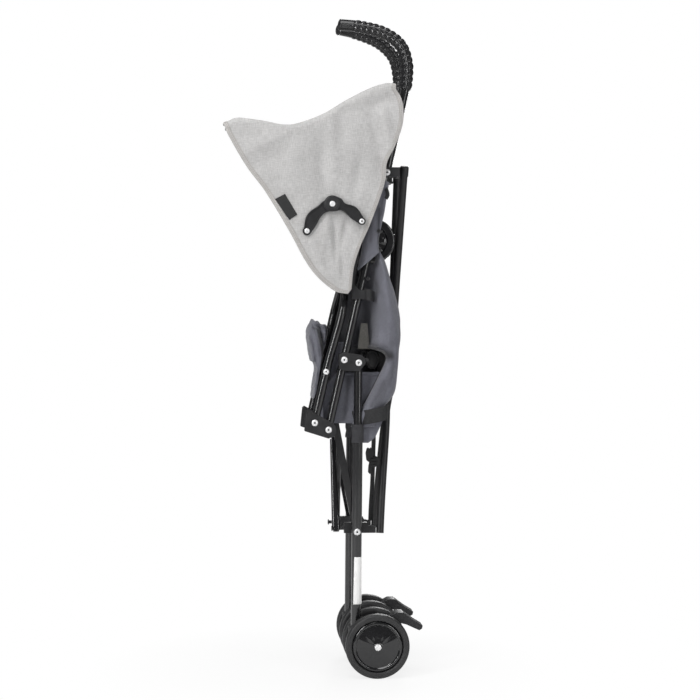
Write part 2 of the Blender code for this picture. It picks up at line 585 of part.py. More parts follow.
def make_foot_bracket(side_name, side, body):
    """Block inside the rear leg: it carries the brace in front and meets the crossing bar behind."""
    y1 = LINK_Y[0] - RUN_GAP * 0.7
    y0 = y1 - 10.0
    outline = [(-53.0, 240.5), (-14.0, 240.5), (-12.0, 239.5), (9.0, 239.5), (9.0, 256.0), (-10.0, 258.0),
               (-13.0, 272.0), (-53.0, 272.0), (BRACE_FACE_X, 262.0), (BRACE_FACE_X, 244.0)]
    head = SIDE_Y + LEG_R + GAP
    leg_pin = [(y1 - 2, PIN_R), (LINK_Y[1] + GAP, PIN_R), (LINK_Y[1] + GAP + 0.2, PIN_R + 2),
               (SIDE_Y - LEG_R - GAP - 0.2, PIN_R + 2), (SIDE_Y - LEG_R - GAP, PIN_R), (head, PIN_R),
               (head + 0.1, RIVET_HEAD_R), (head + 1.0, RIVET_HEAD_R), (head + 2.0, RIVET_HEAD_R - 1.2)]
    leg_pin = rod([(FOOT[0], y, FOOT[1]) for y, _ in leg_pin], [r for _, r in leg_pin], 8)
    tip = BRACE_X - BRACE_T - RUN_GAP * 1.5
    brace_pin = [(BRACE_FACE_X + 3, PIN_R), (tip, PIN_R), (tip - 0.1, RIVET_HEAD_R), (tip - 1.8, RIVET_HEAD_R - 1.2)]
    brace_pin = rod([(x, BRACE_Y, BRACE_Z) for x, _ in brace_pin], [r for _, r in brace_pin], 8)
    node(f"{side_name}_foot_bracket", [slab(outline, y0, y1)], body, "bracket_plastic", side, (), [leg_pin, brace_pin])


def make_brace_half(side_name, side, body):
    """Half of the folding brace, from its pin on the foot bracket up to the middle."""
    rise = math.sqrt(BRACE_LENGTH ** 2 - BRACE_Y ** 2)
    layer = (BRACE_X - BRACE_T - 0.6, BRACE_X - 0.6) if side < 0 else (BRACE_X + 0.6, BRACE_X + BRACE_T + 0.6)
    base = math.atan2(rise, -BRACE_Y)
    half = BRACE_W / 2
    outline = []
    for (y, z), start in (((0.0, BRACE_Z + rise), base - math.pi / 2), ((BRACE_Y, BRACE_Z), base + math.pi / 2)):
        outline += [(y + half * math.cos(start + math.pi * k / 6), z + half * math.sin(start + math.pi * k / 6))
                    for k in range(7)]
    bar = skin(bmesh.new(), [[Vector((x, y, z)) for y, z in outline] for x in layer], closed=False)
    hole = fore_aft(layer[0] - 3, layer[1] + 3, BRACE_Y, BRACE_Z, bore_r(PIN_R))
    node(f"{side_name}_brace_half", [bar], body, "bar_paint", side, [hole])


def make_top_bracket(side_name, side, body):
    """Clevis on the handle tube, with an ear behind it for the crossing bar."""
    y0, y1, y2, y3 = cheeks()
    x, z = LEAN_TOP
    outline = [(x - 9, z - 6), (x - 4, z - 10), (x + 22.5, z - 10), (x + 22.5, z + 9), (x - 4, z + 9), (x - 9, z + 5)]
    web_x = BAR_TOP[0] - BAR_R - RUN_GAP - EAR_T
    ear = block((web_x, web_x + EAR_T), (BAR_TOP_Y - 8.0, y3), (BAR_TOP[1] - 8.0, z + 9))
    slot = block((x - 30, web_x), (y1, y2), (z - 40, z + 40))
    rise = (BAR_TOP[0] - BAR_FOOT[0]) / (BAR_TOP[1] - BAR_FOOT[1])
    pin = rod([(BAR_TOP[0] + d, BAR_TOP_Y, BAR_TOP[1] - d * rise) for d in (-BAR_R - RUN_GAP - 2.0, BAR_R + 1.0)],
              PIN_R, 8)
    node(f"{side_name}_top_bracket", [slab(outline, y0, y3), ear], body, "bracket_plastic", side, [slot],
         [rivet(LEAN_TOP, y0, y3), pin])


def make_cross_bar(side_name, side, body):
    """Bar from its own side's top bracket to the other side's foot bracket, bowed past its twin."""
    lift = (CAP_ABOVE / (BAR_TOP[1] - BAR_FOOT[1]))
    steps = 9
    path = []
    for k in range(steps + 1):
        t = -lift + (1 + 1.6 * lift / 3 + lift / 3) * k / steps
        bow = BAR_BOW * math.sin(math.pi * min(max(t, 0.0), 1.0)) * (1 if side < 0 else -1)
        path.append((BAR_TOP[0] + (BAR_FOOT[0] - BAR_TOP[0]) * t + bow,
                     BAR_TOP_Y - (BAR_TOP_Y + BAR_FOOT_Y) * t,
                     BAR_TOP[1] + (BAR_FOOT[1] - BAR_TOP[1]) * t))
    rise = (BAR_TOP[0] - BAR_FOOT[0]) / (BAR_TOP[1] - BAR_FOOT[1])
    hole = rod([(BAR_TOP[0] + d, BAR_TOP_Y, BAR_TOP[1] - d * rise) for d in (-20.0, 20.0)],
               bore_r(PIN_R), 8)
    node(f"{side_name}_cross_bar", [tube(path, BAR_R, sides=8)], body, "bar_paint", side, [hole])


def make_canopy_mount(side_name, side, body):
    """Strut along the handle tube for the canopy: a clamp, the hood's pivot and the stay's pivot."""
    y0 = SIDE_Y + TUBE_R + GAP
    y1 = y0 + STRUT_T
    strut = capsule(CANOPY_PIVOT, STAY_REAR, 6.0, y0, y1, 4)
    clamp_z = CANOPY_PIVOT[1] - 19.0
    x = on_handle(clamp_z)
    clamp = block((x - TUBE_R - 5, x + TUBE_R + 3.5), (SIDE_Y - TUBE_R - 3.0, y1), (clamp_z - 8, clamp_z + 8))
    bore = rod([(on_handle(z), SIDE_Y, z) for z in (clamp_z - 40, clamp_z + 40)], bore_r(TUBE_R, TUBE_SIDES))
    arm = slab([(CANOPY_PIVOT[0], CANOPY_PIVOT[1] - 5), (x, clamp_z - 8), (x, clamp_z + 8), (CANOPY_PIVOT[0], CANOPY_PIVOT[1] + 5)],
               y0, y1)
    pivot = across(CANOPY_PIVOT, y1 - 1.0, BOW_Y + BOW_R + 1.0, HOOD_PIN_R)
    stay_pin = across(STAY_REAR, y1 - 1.0, STAY_Y + 2 * STAY_T + 1.0, HOOD_PIN_R)
    node(f"{side_name}_canopy_mount", [strut, clamp, arm], body, "bracket_plastic", side, [bore], [pivot, stay_pin])


def bow_points():
    """Route of half the hood's front bow, from its pivot up the front edge and in to the middle."""
    x, z = CANOPY_PIVOT
    side_y = BOW_Y
    return [(x, side_y, z), (x - 60.0, side_y + 4, z + 79.0), (x - 133.0, side_y + 3, z + 172.0),
            (-235.0, side_y - 6, 922.0), (-249.0, side_y - 22, 946.0), (-253.0, side_y - 48, 953.0), (-255.0, 30.0, 952.0),
            (-255.5, GAP, 950.0)]


def make_canopy_bow(side_name, side, body):
    points = bow_points()
    path = smooth_path(points, 2)
    start = Vector(path[0]) + (Vector(path[1]) - Vector(path[0])).normalized() * 2.0
    path = [tuple(start)] + path[1:]
    eye = across(CANOPY_PIVOT, BOW_Y - BOW_R, BOW_Y + BOW_R, 6.0)
    hole = across(CANOPY_PIVOT, BOW_Y - 10, BOW_Y + 10, bore_r(HOOD_PIN_R))
    node(f"{side_name}_canopy_bow", [rod(path, BOW_R, 8), eye], body, "bracket_plastic", side, [hole])


def make_stay(side_name, side, rear_body, front_body):
    """The two arms that hold the hood open; they lap at the elbow."""
    y0 = STAY_Y
    y1 = y0 + STAY_T
    y2 = y1 + STAY_T
    node(f"{side_name}_stay_rear_arm", [capsule(STAY_REAR, STAY_ELBOW, 7.0, y1 + GAP, y2)], rear_body, "bracket_plastic", side,
         [across(STAY_REAR, y0, y2 + 5, bore_r(HOOD_PIN_R))], [across(STAY_ELBOW, y0 - 0.8, y2 - 1, HOOD_PIN_R)])
    node(f"{side_name}_stay_front_arm", [capsule(STAY_FRONT, STAY_ELBOW, 7.0, y0, y1)], front_body, "bracket_plastic", side,
         [across(STAY_ELBOW, y0 - 3, y1 + 3, bore_r(HOOD_PIN_R))])


def curve_value(points, at):
    """Straight-line value of a curve of (place, value) points."""
    return float(np.interp(at, [p for p, _ in points], [v for _, v in points]))


def along_curve(points, count):
    """Evenly spaced points along a side-view polyline."""
    points = np.array(points)
    step = np.r_[0.0, np.cumsum(np.linalg.norm(np.diff(points, axis=0), axis=1))]
    at = np.linspace(0.0, step[-1], count)
    return np.c_[np.interp(at, step, points[:, 0]), np.interp(at, step, points[:, 1])]


def fold_depth(x, z, folds):
    """How far a cloth is pushed in at (x, z): each fold is a straight line that is deepest in its middle."""
    total = 0.0
    for x0, z0, x1, z1, width, depth in folds:
        along = ((x - x0) * (x1 - x0) + (z - z0) * (z1 - z0)) / ((x1 - x0) ** 2 + (z1 - z0) ** 2)
        t = min(max(along, 0.0), 1.0)
        away = math.hypot(x - x0 - t * (x1 - x0), z - z0 - t * (z1 - z0))
        total += depth * math.exp(-(away / width) ** 2) * math.exp(-((along - 0.5) / 0.7) ** 2)
    return total


def make_canopy_side(side_name, side, body):
    """Side of the canopy, between its lower edge and its back and top edges."""
    low = along_curve(CANOPY_LOW, 16)
    high = along_curve(CANOPY_BACK + CANOPY_TOP[1:], 16)
    grid = []
    for a, b in zip(low, high):
        line = [a + (b - a) * t for t in np.linspace(0.0, 1.0, 11)]
        grid.append([(x, CANOPY_SIDE_Y - fold_depth(x, z, CANOPY_FOLDS), z) for x, z in line])
    grid = np.array(grid)
    hole = across(STAY_REAR, CANOPY_SIDE_Y - 5, CANOPY_SIDE_Y + 5, HOOD_PIN_R + 1.5)
    node(f"canopy_{side_name}", [sheet(grid, CLOTH_T)], body, "canopy_cloth", side, [hole])


def make_canopy_top(body):
    """Top of the canopy, hanging down between the two sides."""
    edge = along_curve(CANOPY_TOP, 10)
    ends = CANOPY_SIDE_Y - CLOTH_T - GAP
    grid = []
    for x, z in edge:
        x = max(x, -243.0)
        sag = CANOPY_SAG * min((x + 250.0) / 60.0, 1.0)
        grid.append([(x, y, z - 3.0 - sag * (1 - (y / ends) ** 2)) for y in np.linspace(-ends, ends, 9)])
    node("canopy_top", [sheet(grid, CLOTH_T)], body, "canopy_cloth")


def make_seat_back(body):
    """Backrest with a pocket of cloth beside each handle tube; it stays in front of the crossing bars."""
    rows = 14
    tops = [SEAT_WING_TOP] * 5 + [700.0, 692.0, SEAT_BACK_TOP, SEAT_BACK_TOP]
    grid = []
    for row in range(rows):
        f = row / (rows - 1)
        half = []
        for place in range(9):
            z = SEAT_BACK_LOW + (tops[place] - SEAT_BACK_LOW) * f
            behind = TUBE_R + (1.6 if z < 620 else 6.2)
            front = on_handle(z) + behind if z > 578 else -15.0
            front = max(front, -15.0) if z < 578 else front
            back = max(curve_value(SEAT_REAR_EDGE, z), front + 9.0)
            bulge = min(max((730.0 - z) / 80.0, 0.0), 1.0)
            middle = curve_value(SEAT_MIDDLE, z)
            x, y = [(front, SIDE_Y + 1.0), (front + (back - front) * 0.15, SIDE_Y + 7.0 + 4 * bulge),
                    (front + (back - front) * 0.4, SIDE_Y + 10.0 + 9 * bulge),
                    (front + (back - front) * 0.75, SIDE_Y + 10.0 + 8 * bulge),
                    (back, SIDE_Y + 6.0 + 2 * bulge), (back - 2.0, SIDE_Y - 6.0), (middle + (back - middle) * 0.5, 42.0),
                    (middle, 20.0), (middle, 0.0)][place]
            if 0 < place < 5:
                y -= fold_depth(x, z, SEAT_FOLDS)
            half.append((x, y, z))
        grid.append([(x, -y, z) for x, y, z in half] + half[-2::-1])
    node("seat_back", [sheet(grid, CLOTH_T)], body, "seat_cloth")


def make_seat_base(body):
    """Seat and leg rest, folded up in front of the backrest."""
    path = along_curve(SEAT_BASE, 8)
    grid = [[(x, y, z) for y in np.linspace(-SEAT_BASE_Y, SEAT_BASE_Y, 5)] for x, z in path]
    node("seat_base", [sheet(grid, CLOTH_T)], body, "seat_cloth")


def make_buckle(body):
    node("harness_buckle", [block((-20.0, 8.0), (-41.0, -29.0), (528.0, 568.0))], body, "buckle_plastic")


clear_scene()
for material_name in materials:
    make_material(material_name)

root = add_joint("stroller", (0.0, 0.0, 0.0))
for side_name, side in SIDES.items():
    def at(point, y):
        return (point[0], side * y, point[1])

    frame = add_joint(f"{side_name}_frame", (0.0, 0.0, 0.0), root)
    rear_leg = add_joint(f"{side_name}_rear_leg_axis", at(HINGE_R, SIDE_Y), frame)
    knee = add_joint(f"{side_name}_knee_axis", at(KNEE_H, SIDE_Y), frame)
    front_leg = add_joint(f"{side_name}_front_leg_axis", at(KNEE_L, SIDE_Y), knee)
    fork = add_joint(f"{side_name}_swivel_axis", at(on_leg(LEG_LENGTH), FRONT_Y), front_leg)
    link = add_joint(f"{side_name}_link_axis", at(FOOT, LINK_Y[0]), rear_leg)
    foot = add_joint(f"{side_name}_foot_axis", at(FOOT, SIDE_Y), rear_leg)
    brace = add_joint(f"{side_name}_brace_axis", (BRACE_X, side * BRACE_Y, BRACE_Z), foot)
    top = add_joint(f"{side_name}_top_axis", at(LEAN_TOP, SIDE_Y), frame)
    bar = add_joint(f"{side_name}_bar_axis", at(BAR_TOP, BAR_TOP_Y), top)
    lever = add_joint(f"{side_name}_brake_axis", at(BRAKE_PIVOT, SIDE_Y), rear_leg)
    bow = add_joint(f"{side_name}_canopy_axis", at(CANOPY_PIVOT, BOW_Y), bow if side > 0 else frame)
    stay_rear = add_joint(f"{side_name}_stay_rear_axis", at(STAY_REAR, STAY_Y), frame)
    stay_front = add_joint(f"{side_name}_stay_elbow_axis", at(STAY_ELBOW, STAY_Y), stay_rear)

    make_handle(side_name, side, frame)
    make_hinge_bracket(side_name, side, frame)
    make_rear_leg(side_name, side, rear_leg)
    make_rear_housing(side_name, side, rear_leg)
    make_rear_axle(side_name, side, rear_leg)
    make_brake_lever(side_name, side, lever)
    for place, offset in (("outer", REAR_WHEEL_Y), ("inner", -REAR_WHEEL_Y)):
        wheel = add_joint(f"{side_name}_rear_{place}_spin", at((0.0, AXLE_Z), SIDE_Y + offset), rear_leg)
        make_rear_wheel(side_name, place, side, wheel, offset)
    make_knee_bracket(side_name, side, knee)
    make_front_leg(side_name, side, front_leg)
    make_front_swivel(side_name, side, front_leg, fork)
    for place, offset in (("outer", FRONT_WHEEL_Y), ("inner", -FRONT_WHEEL_Y)):
        wheel = add_joint(f"{side_name}_front_{place}_spin", at(FRONT_AXLE, FRONT_Y + offset), fork)
        make_front_wheel(side_name, place, side, wheel, offset)
    make_side_link(side_name, side, link)
    make_foot_bracket(side_name, side, foot)
    make_brace_half(side_name, side, brace)
    make_top_bracket(side_name, side, top)
    make_cross_bar(side_name, side, bar)
    make_canopy_mount(side_name, side, frame)
    make_canopy_bow(side_name, side, bow)
    make_stay(side_name, side, stay_rear, stay_front)
    make_canopy_side(side_name, side, frame)
    if side < 0:
        make_canopy_top(frame)
        make_seat_back(frame)
        make_seat_base(frame)
        make_buckle(frame)
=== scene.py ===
import math
import bpy
import bmesh
import numpy as np
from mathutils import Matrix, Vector


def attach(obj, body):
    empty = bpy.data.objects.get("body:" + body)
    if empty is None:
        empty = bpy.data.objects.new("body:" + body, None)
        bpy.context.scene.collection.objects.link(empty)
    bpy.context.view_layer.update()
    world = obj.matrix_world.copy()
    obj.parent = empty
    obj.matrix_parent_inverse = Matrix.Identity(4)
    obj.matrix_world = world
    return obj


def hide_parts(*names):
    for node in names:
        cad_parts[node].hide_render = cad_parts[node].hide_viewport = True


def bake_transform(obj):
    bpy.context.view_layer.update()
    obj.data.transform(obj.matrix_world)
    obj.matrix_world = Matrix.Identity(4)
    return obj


# Folded lightweight stroller. Side-view lengths are millimetres from the rear axle, as in the frame:
# X to the stroller's back, Y to its right, Z up from the floor.
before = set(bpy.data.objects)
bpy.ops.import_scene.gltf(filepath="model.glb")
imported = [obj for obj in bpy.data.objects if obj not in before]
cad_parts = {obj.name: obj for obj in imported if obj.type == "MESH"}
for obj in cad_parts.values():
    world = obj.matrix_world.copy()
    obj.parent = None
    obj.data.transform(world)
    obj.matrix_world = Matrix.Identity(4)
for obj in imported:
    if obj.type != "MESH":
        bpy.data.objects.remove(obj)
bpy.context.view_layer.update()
axleToOrigin = 92
sides = {"left": -1, "right": 1}


def metres(points):
    # the frame's place, in metres from its origin: millimetres plus the axle's place, times 0.001
    return (np.asarray(points, float) + [axleToOrigin, 0, 0]) * 0.001


# Shapes on grids

def unitRows(vectors):
    # each vector divided by its length
    return vectors / (np.linalg.norm(vectors, axis=-1, keepdims=True) + 1e-12)


def smoothPath(points, perSpan=8):
    # Catmull-Rom curve through points
    p = np.asarray(points, float)
    p = np.vstack([2 * p[0] - p[1], p, 2 * p[-1] - p[-2]])
    t = np.linspace(0, 1, perSpan, endpoint=False)[:, None]
    a, b, c, d = (p[i:len(p) - 3 + i][:, None] for i in range(4))
    curve = 0.5 * (2 * b + (c - a) * t + (2 * a - 5 * b + 4 * c - d) * t ** 2 + (3 * b - a - 3 * c + d) * t ** 3)
    return np.vstack([curve.reshape(-1, p.shape[1]), p[-2]])


def spaced(points, count):
    # evenly spaced points along a polyline
    p = np.asarray(points, float)
    step = np.r_[0, np.cumsum(np.linalg.norm(np.diff(p, axis=0), axis=1))]
    at = np.linspace(0, step[-1], count)
    return np.stack([np.interp(at, step, p[:, k]) for k in range(p.shape[1])], axis=1)


def ease(x, low, high):
    # 0 below low, 1 above high, smooth between
    t = np.clip((np.asarray(x, float) - low) / (high - low), 0, 1)
    return t * t * (3 - 2 * t)


def circle(radius, count):
    # round section, one ring for each radius
    a = np.linspace(0, 2 * math.pi, count, endpoint=False)
    return np.asarray(radius, float).reshape(-1, 1, 1) * np.stack([np.cos(a), np.sin(a)], 1)


def roundedBox(halfW, halfT, count=24, power=4):
    # superellipse section, one ring for each half width
    a = np.linspace(0, 2 * math.pi, count, endpoint=False)
    c, s = np.cos(a), np.sin(a)
    shape = np.stack([np.sign(c) * np.abs(c) ** (2 / power), np.sign(s) * np.abs(s) ** (2 / power)], 1)
    return np.stack(np.broadcast_arrays(np.asarray(halfW, float).reshape(-1, 1), np.asarray(halfT, float).reshape(-1, 1)), 2) * shape


def sweep(path, section, up=(0, 1, 0)):
    # a section carried along a path: its first number runs along up, its second across
    path = np.asarray(path, float)
    ahead = unitRows(np.gradient(path, axis=0))
    up = np.broadcast_to(np.asarray(up, float), path.shape)
    side = unitRows(up - ahead * (ahead * up).sum(1, keepdims=True))
    normal = np.cross(ahead, side)
    return path[:, None] + side[:, None] * section[..., :1] + normal[:, None] * section[..., 1:]


def capped(grid):
    # a swept grid with each end drawn in to its middle
    return np.concatenate([np.repeat(grid[:1].mean(1, keepdims=True), grid.shape[1], 1), grid,
                           np.repeat(grid[-1:].mean(1, keepdims=True), grid.shape[1], 1)])


def hollow(path, radii, wall, count=28, up=(0, 1, 0)):
    # tube with open ends: the outside, then the inside back again
    radii = np.broadcast_to(np.asarray(radii, float), len(path))
    outer = sweep(path, circle(radii, count), up)
    inner = sweep(path, circle(radii - wall, count), up)
    return np.concatenate([outer, inner[::-1]])


def turned(profile, at, y, side=1, count=72):
    # profile of (radius, place along Y) turned about a wheel's axle
    profile = np.asarray(profile, float)
    a = np.linspace(0, 2 * math.pi, count, endpoint=False)[None, :]
    r, w = profile[:, :1], profile[:, 1:]
    return np.stack(np.broadcast_arrays(at[0] + r * np.cos(a), y + side * w, at[1] + r * np.sin(a)), 2)


def plate(outline, y0, y1, corner=1.5):
    # flat plate: the outline with rounded corners, from y0 to y1
    p = np.asarray(outline, float)
    before, after = np.roll(p, 1, 0), np.roll(p, -1, 0)
    cut = np.minimum(corner, 0.4 * np.minimum(np.linalg.norm(before - p, axis=1), np.linalg.norm(after - p, axis=1)))[:, None]
    a, b = p + unitRows(before - p) * cut, p + unitRows(after - p) * cut
    t = np.linspace(0, 1, 5)[None, :, None]
    ring = ((1 - t) ** 2 * a[:, None] + 2 * t * (1 - t) * p[:, None] + t ** 2 * b[:, None]).reshape(-1, 2)
    return np.stack([np.insert(ring, 1, y, axis=1) for y in (y0, y1)])


def gridFaces(rows, cols, closeU, closeV):
    # four corners of each face between neighbouring rows and columns
    index = np.arange(rows * cols).reshape(rows, cols)
    a = np.vstack([index, index[:1]]) if closeU else index
    a = np.hstack([a, a[:, :1]]) if closeV else a
    return np.stack([a[:-1, :-1], a[:-1, 1:], a[1:, 1:], a[1:, :-1]], -1)


def gridLengths(points, closeU, closeV):
    # distance along the surface, across and along the grid, for the pattern
    p = np.concatenate([points, points[:1]]) if closeU else points
    p = np.concatenate([p, p[:, :1]], 1) if closeV else p
    across = np.pad(np.cumsum(np.linalg.norm(np.diff(p, axis=1), axis=2), 1), ((0, 0), (1, 0)))
    along = np.pad(np.cumsum(np.linalg.norm(np.diff(p, axis=0), axis=2), 0), ((1, 0), (0, 0)))
    return across, along


def makeMesh(name, grids, closeU=False, closeV=False, caps=False, flat=None, paintedShade=None):
    # one mesh from one or more grids of points in side-view millimetres; its UV is in metres
    mesh = bpy.data.meshes.new(name)
    verts, faces, uvs, start = [], [], [], 0
    for grid in grids:
        points = metres(grid)
        quads = gridFaces(*points.shape[:2], closeU, closeV)
        across, along = (flat * 0.001).transpose(2, 0, 1) if flat is not None else gridLengths(points, closeU, closeV)
        corners = [(slice(None, -1), slice(None, -1)), (slice(None, -1), slice(1, None)),
                   (slice(1, None), slice(1, None)), (slice(1, None), slice(None, -1))]
        uv = np.stack([np.stack([across[c], along[c]], -1) for c in corners], 2)
        faces += (quads + start).reshape(-1, 4).tolist()
        uvs.append(uv.reshape(-1, 2))
        if caps:
            cols = points.shape[1]
            for ring in (np.arange(cols)[::-1], np.arange(cols) + (len(points) - 1) * cols):
                faces.append((ring + start).tolist())
                uvs.append(points.reshape(-1, 3)[ring][:, [0, 2]])
        verts.append(points.reshape(-1, 3))
        start += points.shape[0] * points.shape[1]
    mesh.from_pydata(np.concatenate(verts).tolist(), [], faces)
    # a darkness given for each point, which the cloth materials paint as shade
    if paintedShade is not None:
        mesh.attributes.new("paintedShade", "FLOAT", "POINT").data.foreach_set("value", np.clip(paintedShade, 0, 1).astype(np.float32).ravel())
    layer = mesh.uv_layers.new(name="surface")
    layer.data.foreach_set("uv", np.concatenate(uvs).ravel())
    bm = bmesh.new()
    bm.from_mesh(mesh)
    bmesh.ops.remove_doubles(bm, verts=bm.verts, dist=1e-7)
    if caps or closeV:
        bmesh.ops.recalc_face_normals(bm, faces=bm.faces)
    bm.to_mesh(mesh)
    bm.free()
    return mesh


def addPiece(name, mesh, material, body, stands=(), solid=0, bevel=0, smooth=40, slot="bracket_plastic"):
    # an object that moves with a body: body is a name; given as (name, name, start, end) instead, the object is only
    # baked in place
    obj = bpy.data.objects.new(name, mesh)
    bpy.context.collection.objects.link(obj)
    mesh.materials.clear()
    mesh.materials.append(bpy.data.materials[material])
    mesh.shade_smooth()
    mesh.set_sharp_from_angle(angle=math.radians(smooth))
    if solid:
        thick = obj.modifiers.new("thickness", "SOLIDIFY")
        thick.thickness = solid * 0.001
        thick.offset = 0
    if bevel:
        soft = obj.modifiers.new("roundedEdges", "BEVEL")
        soft.width = bevel * 0.001
        soft.segments = 3
        soft.limit_method = "ANGLE"
        soft.angle_limit = math.radians(32)
        soft.harden_normals = False
    if isinstance(body, str):
        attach(obj, body)
    else:
        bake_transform(obj)
    if stands:
        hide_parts(*stands)
    return obj


def addRings(name, grid, material, body, stands=(), ring=False, **more):
    # a piece from a grid that closes round its section, and with ring also from end to end
    return addPiece(name, makeMesh(name, [grid], ring, True), material, body, stands, **more)


def sidePiece(sideName, name, grid, material, body, node=None, ring=False, **more):
    # the same for a piece that rides on one side's body and stands for one of that side's nodes
    return addRings(sideName + name, grid, material, f"{sideName}_{body}", [f"{sideName}_{node}"] if node else (), ring, **more)


def roundedCopy(node, name, material, body, bevel, slot, shape=None):
    # the frame's own bracket with softened edges, and where given a change to its points
    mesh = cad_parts[node].data.copy()
    mesh.name = name
    bm = bmesh.new()
    bm.from_mesh(mesh)
    bmesh.ops.remove_doubles(bm, verts=bm.verts, dist=2e-6)
    bmesh.ops.dissolve_limit(bm, angle_limit=math.radians(3), verts=bm.verts, edges=bm.edges)
    if shape:
        points = np.array([v.co for v in bm.verts]) * 1000 - [axleToOrigin, 0, 0]
        points = np.stack(shape(*points.T), 1)
        for vert, place in zip(bm.verts, metres(points).tolist()):
            vert.co = place
    bm.to_mesh(mesh)
    bm.free()
    return addPiece(name, mesh, material, body, [node], bevel=bevel, slot=slot)


# Node groups shared by several materials

def newGroup(name, inputs, outputs):
    # an empty node group with its sockets, and its two end nodes
    group = bpy.data.node_groups.new(name, "ShaderNodeTree")
    for label, kind, value in inputs:
        socket = group.interface.new_socket(name=label, in_out="INPUT", socket_type=kind)
        if value:
            socket.default_value = value
    for label, kind in outputs:
        group.interface.new_socket(name=label, in_out="OUTPUT", socket_type=kind)
    return group, group.nodes.new("NodeGroupInput"), group.nodes.new("NodeGroupOutput")


def addNode(tree, kind, links=(), **settings):
    # a node with its settings, and its inputs linked or set by place or name
    node = tree.nodes.new(kind)
    for key, value in settings.items():
        setattr(node, key, value)
    for socket, value in dict(links).items():
        if isinstance(value, bpy.types.NodeSocket):
            tree.links.new(value, node.inputs[socket])
        else:
            node.inputs[socket].default_value = value
    return node


def calc(tree, operation, a, b=0, clamp=False):
    # one sum on two numbers or sockets
    return addNode(tree, "ShaderNodeMath", {0: a, 1: b}, operation=operation, use_clamp=clamp).outputs[0]


def rescale(tree, value, low, high, newLow=0.0, newHigh=1.0):
    # a value from one range brought to another
    return addNode(tree, "ShaderNodeMapRange", {0: value, 1: low, 2: high, 3: newLow, 4: newHigh}).outputs[0]


def mixColor(tree, factor, a, b, blend="MIX"):
    # colour a towards colour b by a factor
    node = addNode(tree, "ShaderNodeMix", data_type="RGBA", blend_type=blend)
    for place, value in ((0, factor), (6, a), (7, b)):
        if isinstance(value, bpy.types.NodeSocket):
            tree.links.new(value, node.inputs[place])
        else:
            node.inputs[place].default_value = value
    return node.outputs[2]


def buildGrainGroup():
    # fine moulded texture: a height from two noises, and a slow change of tone
    group, given, out = newGroup("mouldedGrain", [("Vector", "NodeSocketVector", None), ("Scale", "NodeSocketFloat", 900)],
                                 [("Height", "NodeSocketFloat"), ("Tone", "NodeSocketFloat")])
    fine = addNode(group, "ShaderNodeTexNoise", {"Vector": given.outputs[0], "Scale": given.outputs[1], "Detail": 4, "Roughness": 0.6})
    pits = addNode(group, "ShaderNodeTexVoronoi", {"Vector": given.outputs[0], "Scale": calc(group, "MULTIPLY", given.outputs[1], 0.6)})
    slow = addNode(group, "ShaderNodeTexNoise", {"Vector": given.outputs[0], "Scale": 35, "Detail": 5, "Roughness": 0.65})
    group.links.new(calc(group, "ADD", calc(group, "MULTIPLY", fine.outputs[0], 0.6),
                         calc(group, "MULTIPLY", pits.outputs["Distance"], 0.5)),
                    out.inputs[0])
    group.links.new(slow.outputs[0], out.inputs[1])
    return group


def buildWeaveGroup():
    # plain weave on the surface's UV: over-and-under threads, their height, and long flecks along both directions
    group, given, out = newGroup("plainWeave", [("UV", "NodeSocketVector", None), ("Pitch", "NodeSocketFloat", 0.0011),
                                                ("Fleck Length", "NodeSocketFloat", 0.012)],
                                 [("Height", "NodeSocketFloat"), ("Warp", "NodeSocketFloat"), ("Fleck", "NodeSocketFloat"),
                                  ("Slow", "NodeSocketFloat")])
    parts = addNode(group, "ShaderNodeSeparateXYZ", {0: given.outputs[0]})
    phase = [calc(group, "DIVIDE", calc(group, "MULTIPLY", parts.outputs[k], math.pi), given.outputs[1]) for k in (0, 1)]
    wave = [calc(group, "SINE", p) for p in phase]
    over = calc(group, "MULTIPLY", wave[0], wave[1])
    round0, round1 = (calc(group, "ABSOLUTE", w) for w in wave)
    warp = calc(group, "GREATER_THAN", over, 0)
    height = calc(group, "ADD", calc(group, "MULTIPLY", warp, round0), calc(group, "MULTIPLY", calc(group, "SUBTRACT", 1, warp), round1))
    flecks = []
    for k in (0, 1):
        scale = [calc(group, "DIVIDE", 1, given.outputs[2]), calc(group, "DIVIDE", 0.8, given.outputs[1])]
        axes = addNode(group, "ShaderNodeCombineXYZ", {k: calc(group, "MULTIPLY", parts.outputs[k], scale[0]),
                                                       1 - k: calc(group, "MULTIPLY", parts.outputs[1 - k], scale[1]), 2: 3.1 + k})
        flecks.append(addNode(group, "ShaderNodeTexNoise", {"Vector": axes.outputs[0], "Scale": 1, "Detail": 2,
                                                            "Roughness": 0.55}).outputs[0])
    fleck = calc(group, "ADD", calc(group, "MULTIPLY", flecks[0], 0.5), calc(group, "MULTIPLY", flecks[1], 0.5))
    slow = addNode(group, "ShaderNodeTexNoise", {"Vector": given.outputs[0], "Scale": 22, "Detail": 3, "Roughness": 0.5})
    for socket, value in zip(out.inputs, (height, warp, fleck, slow.outputs[0])):
        group.links.new(value, socket)
    return group


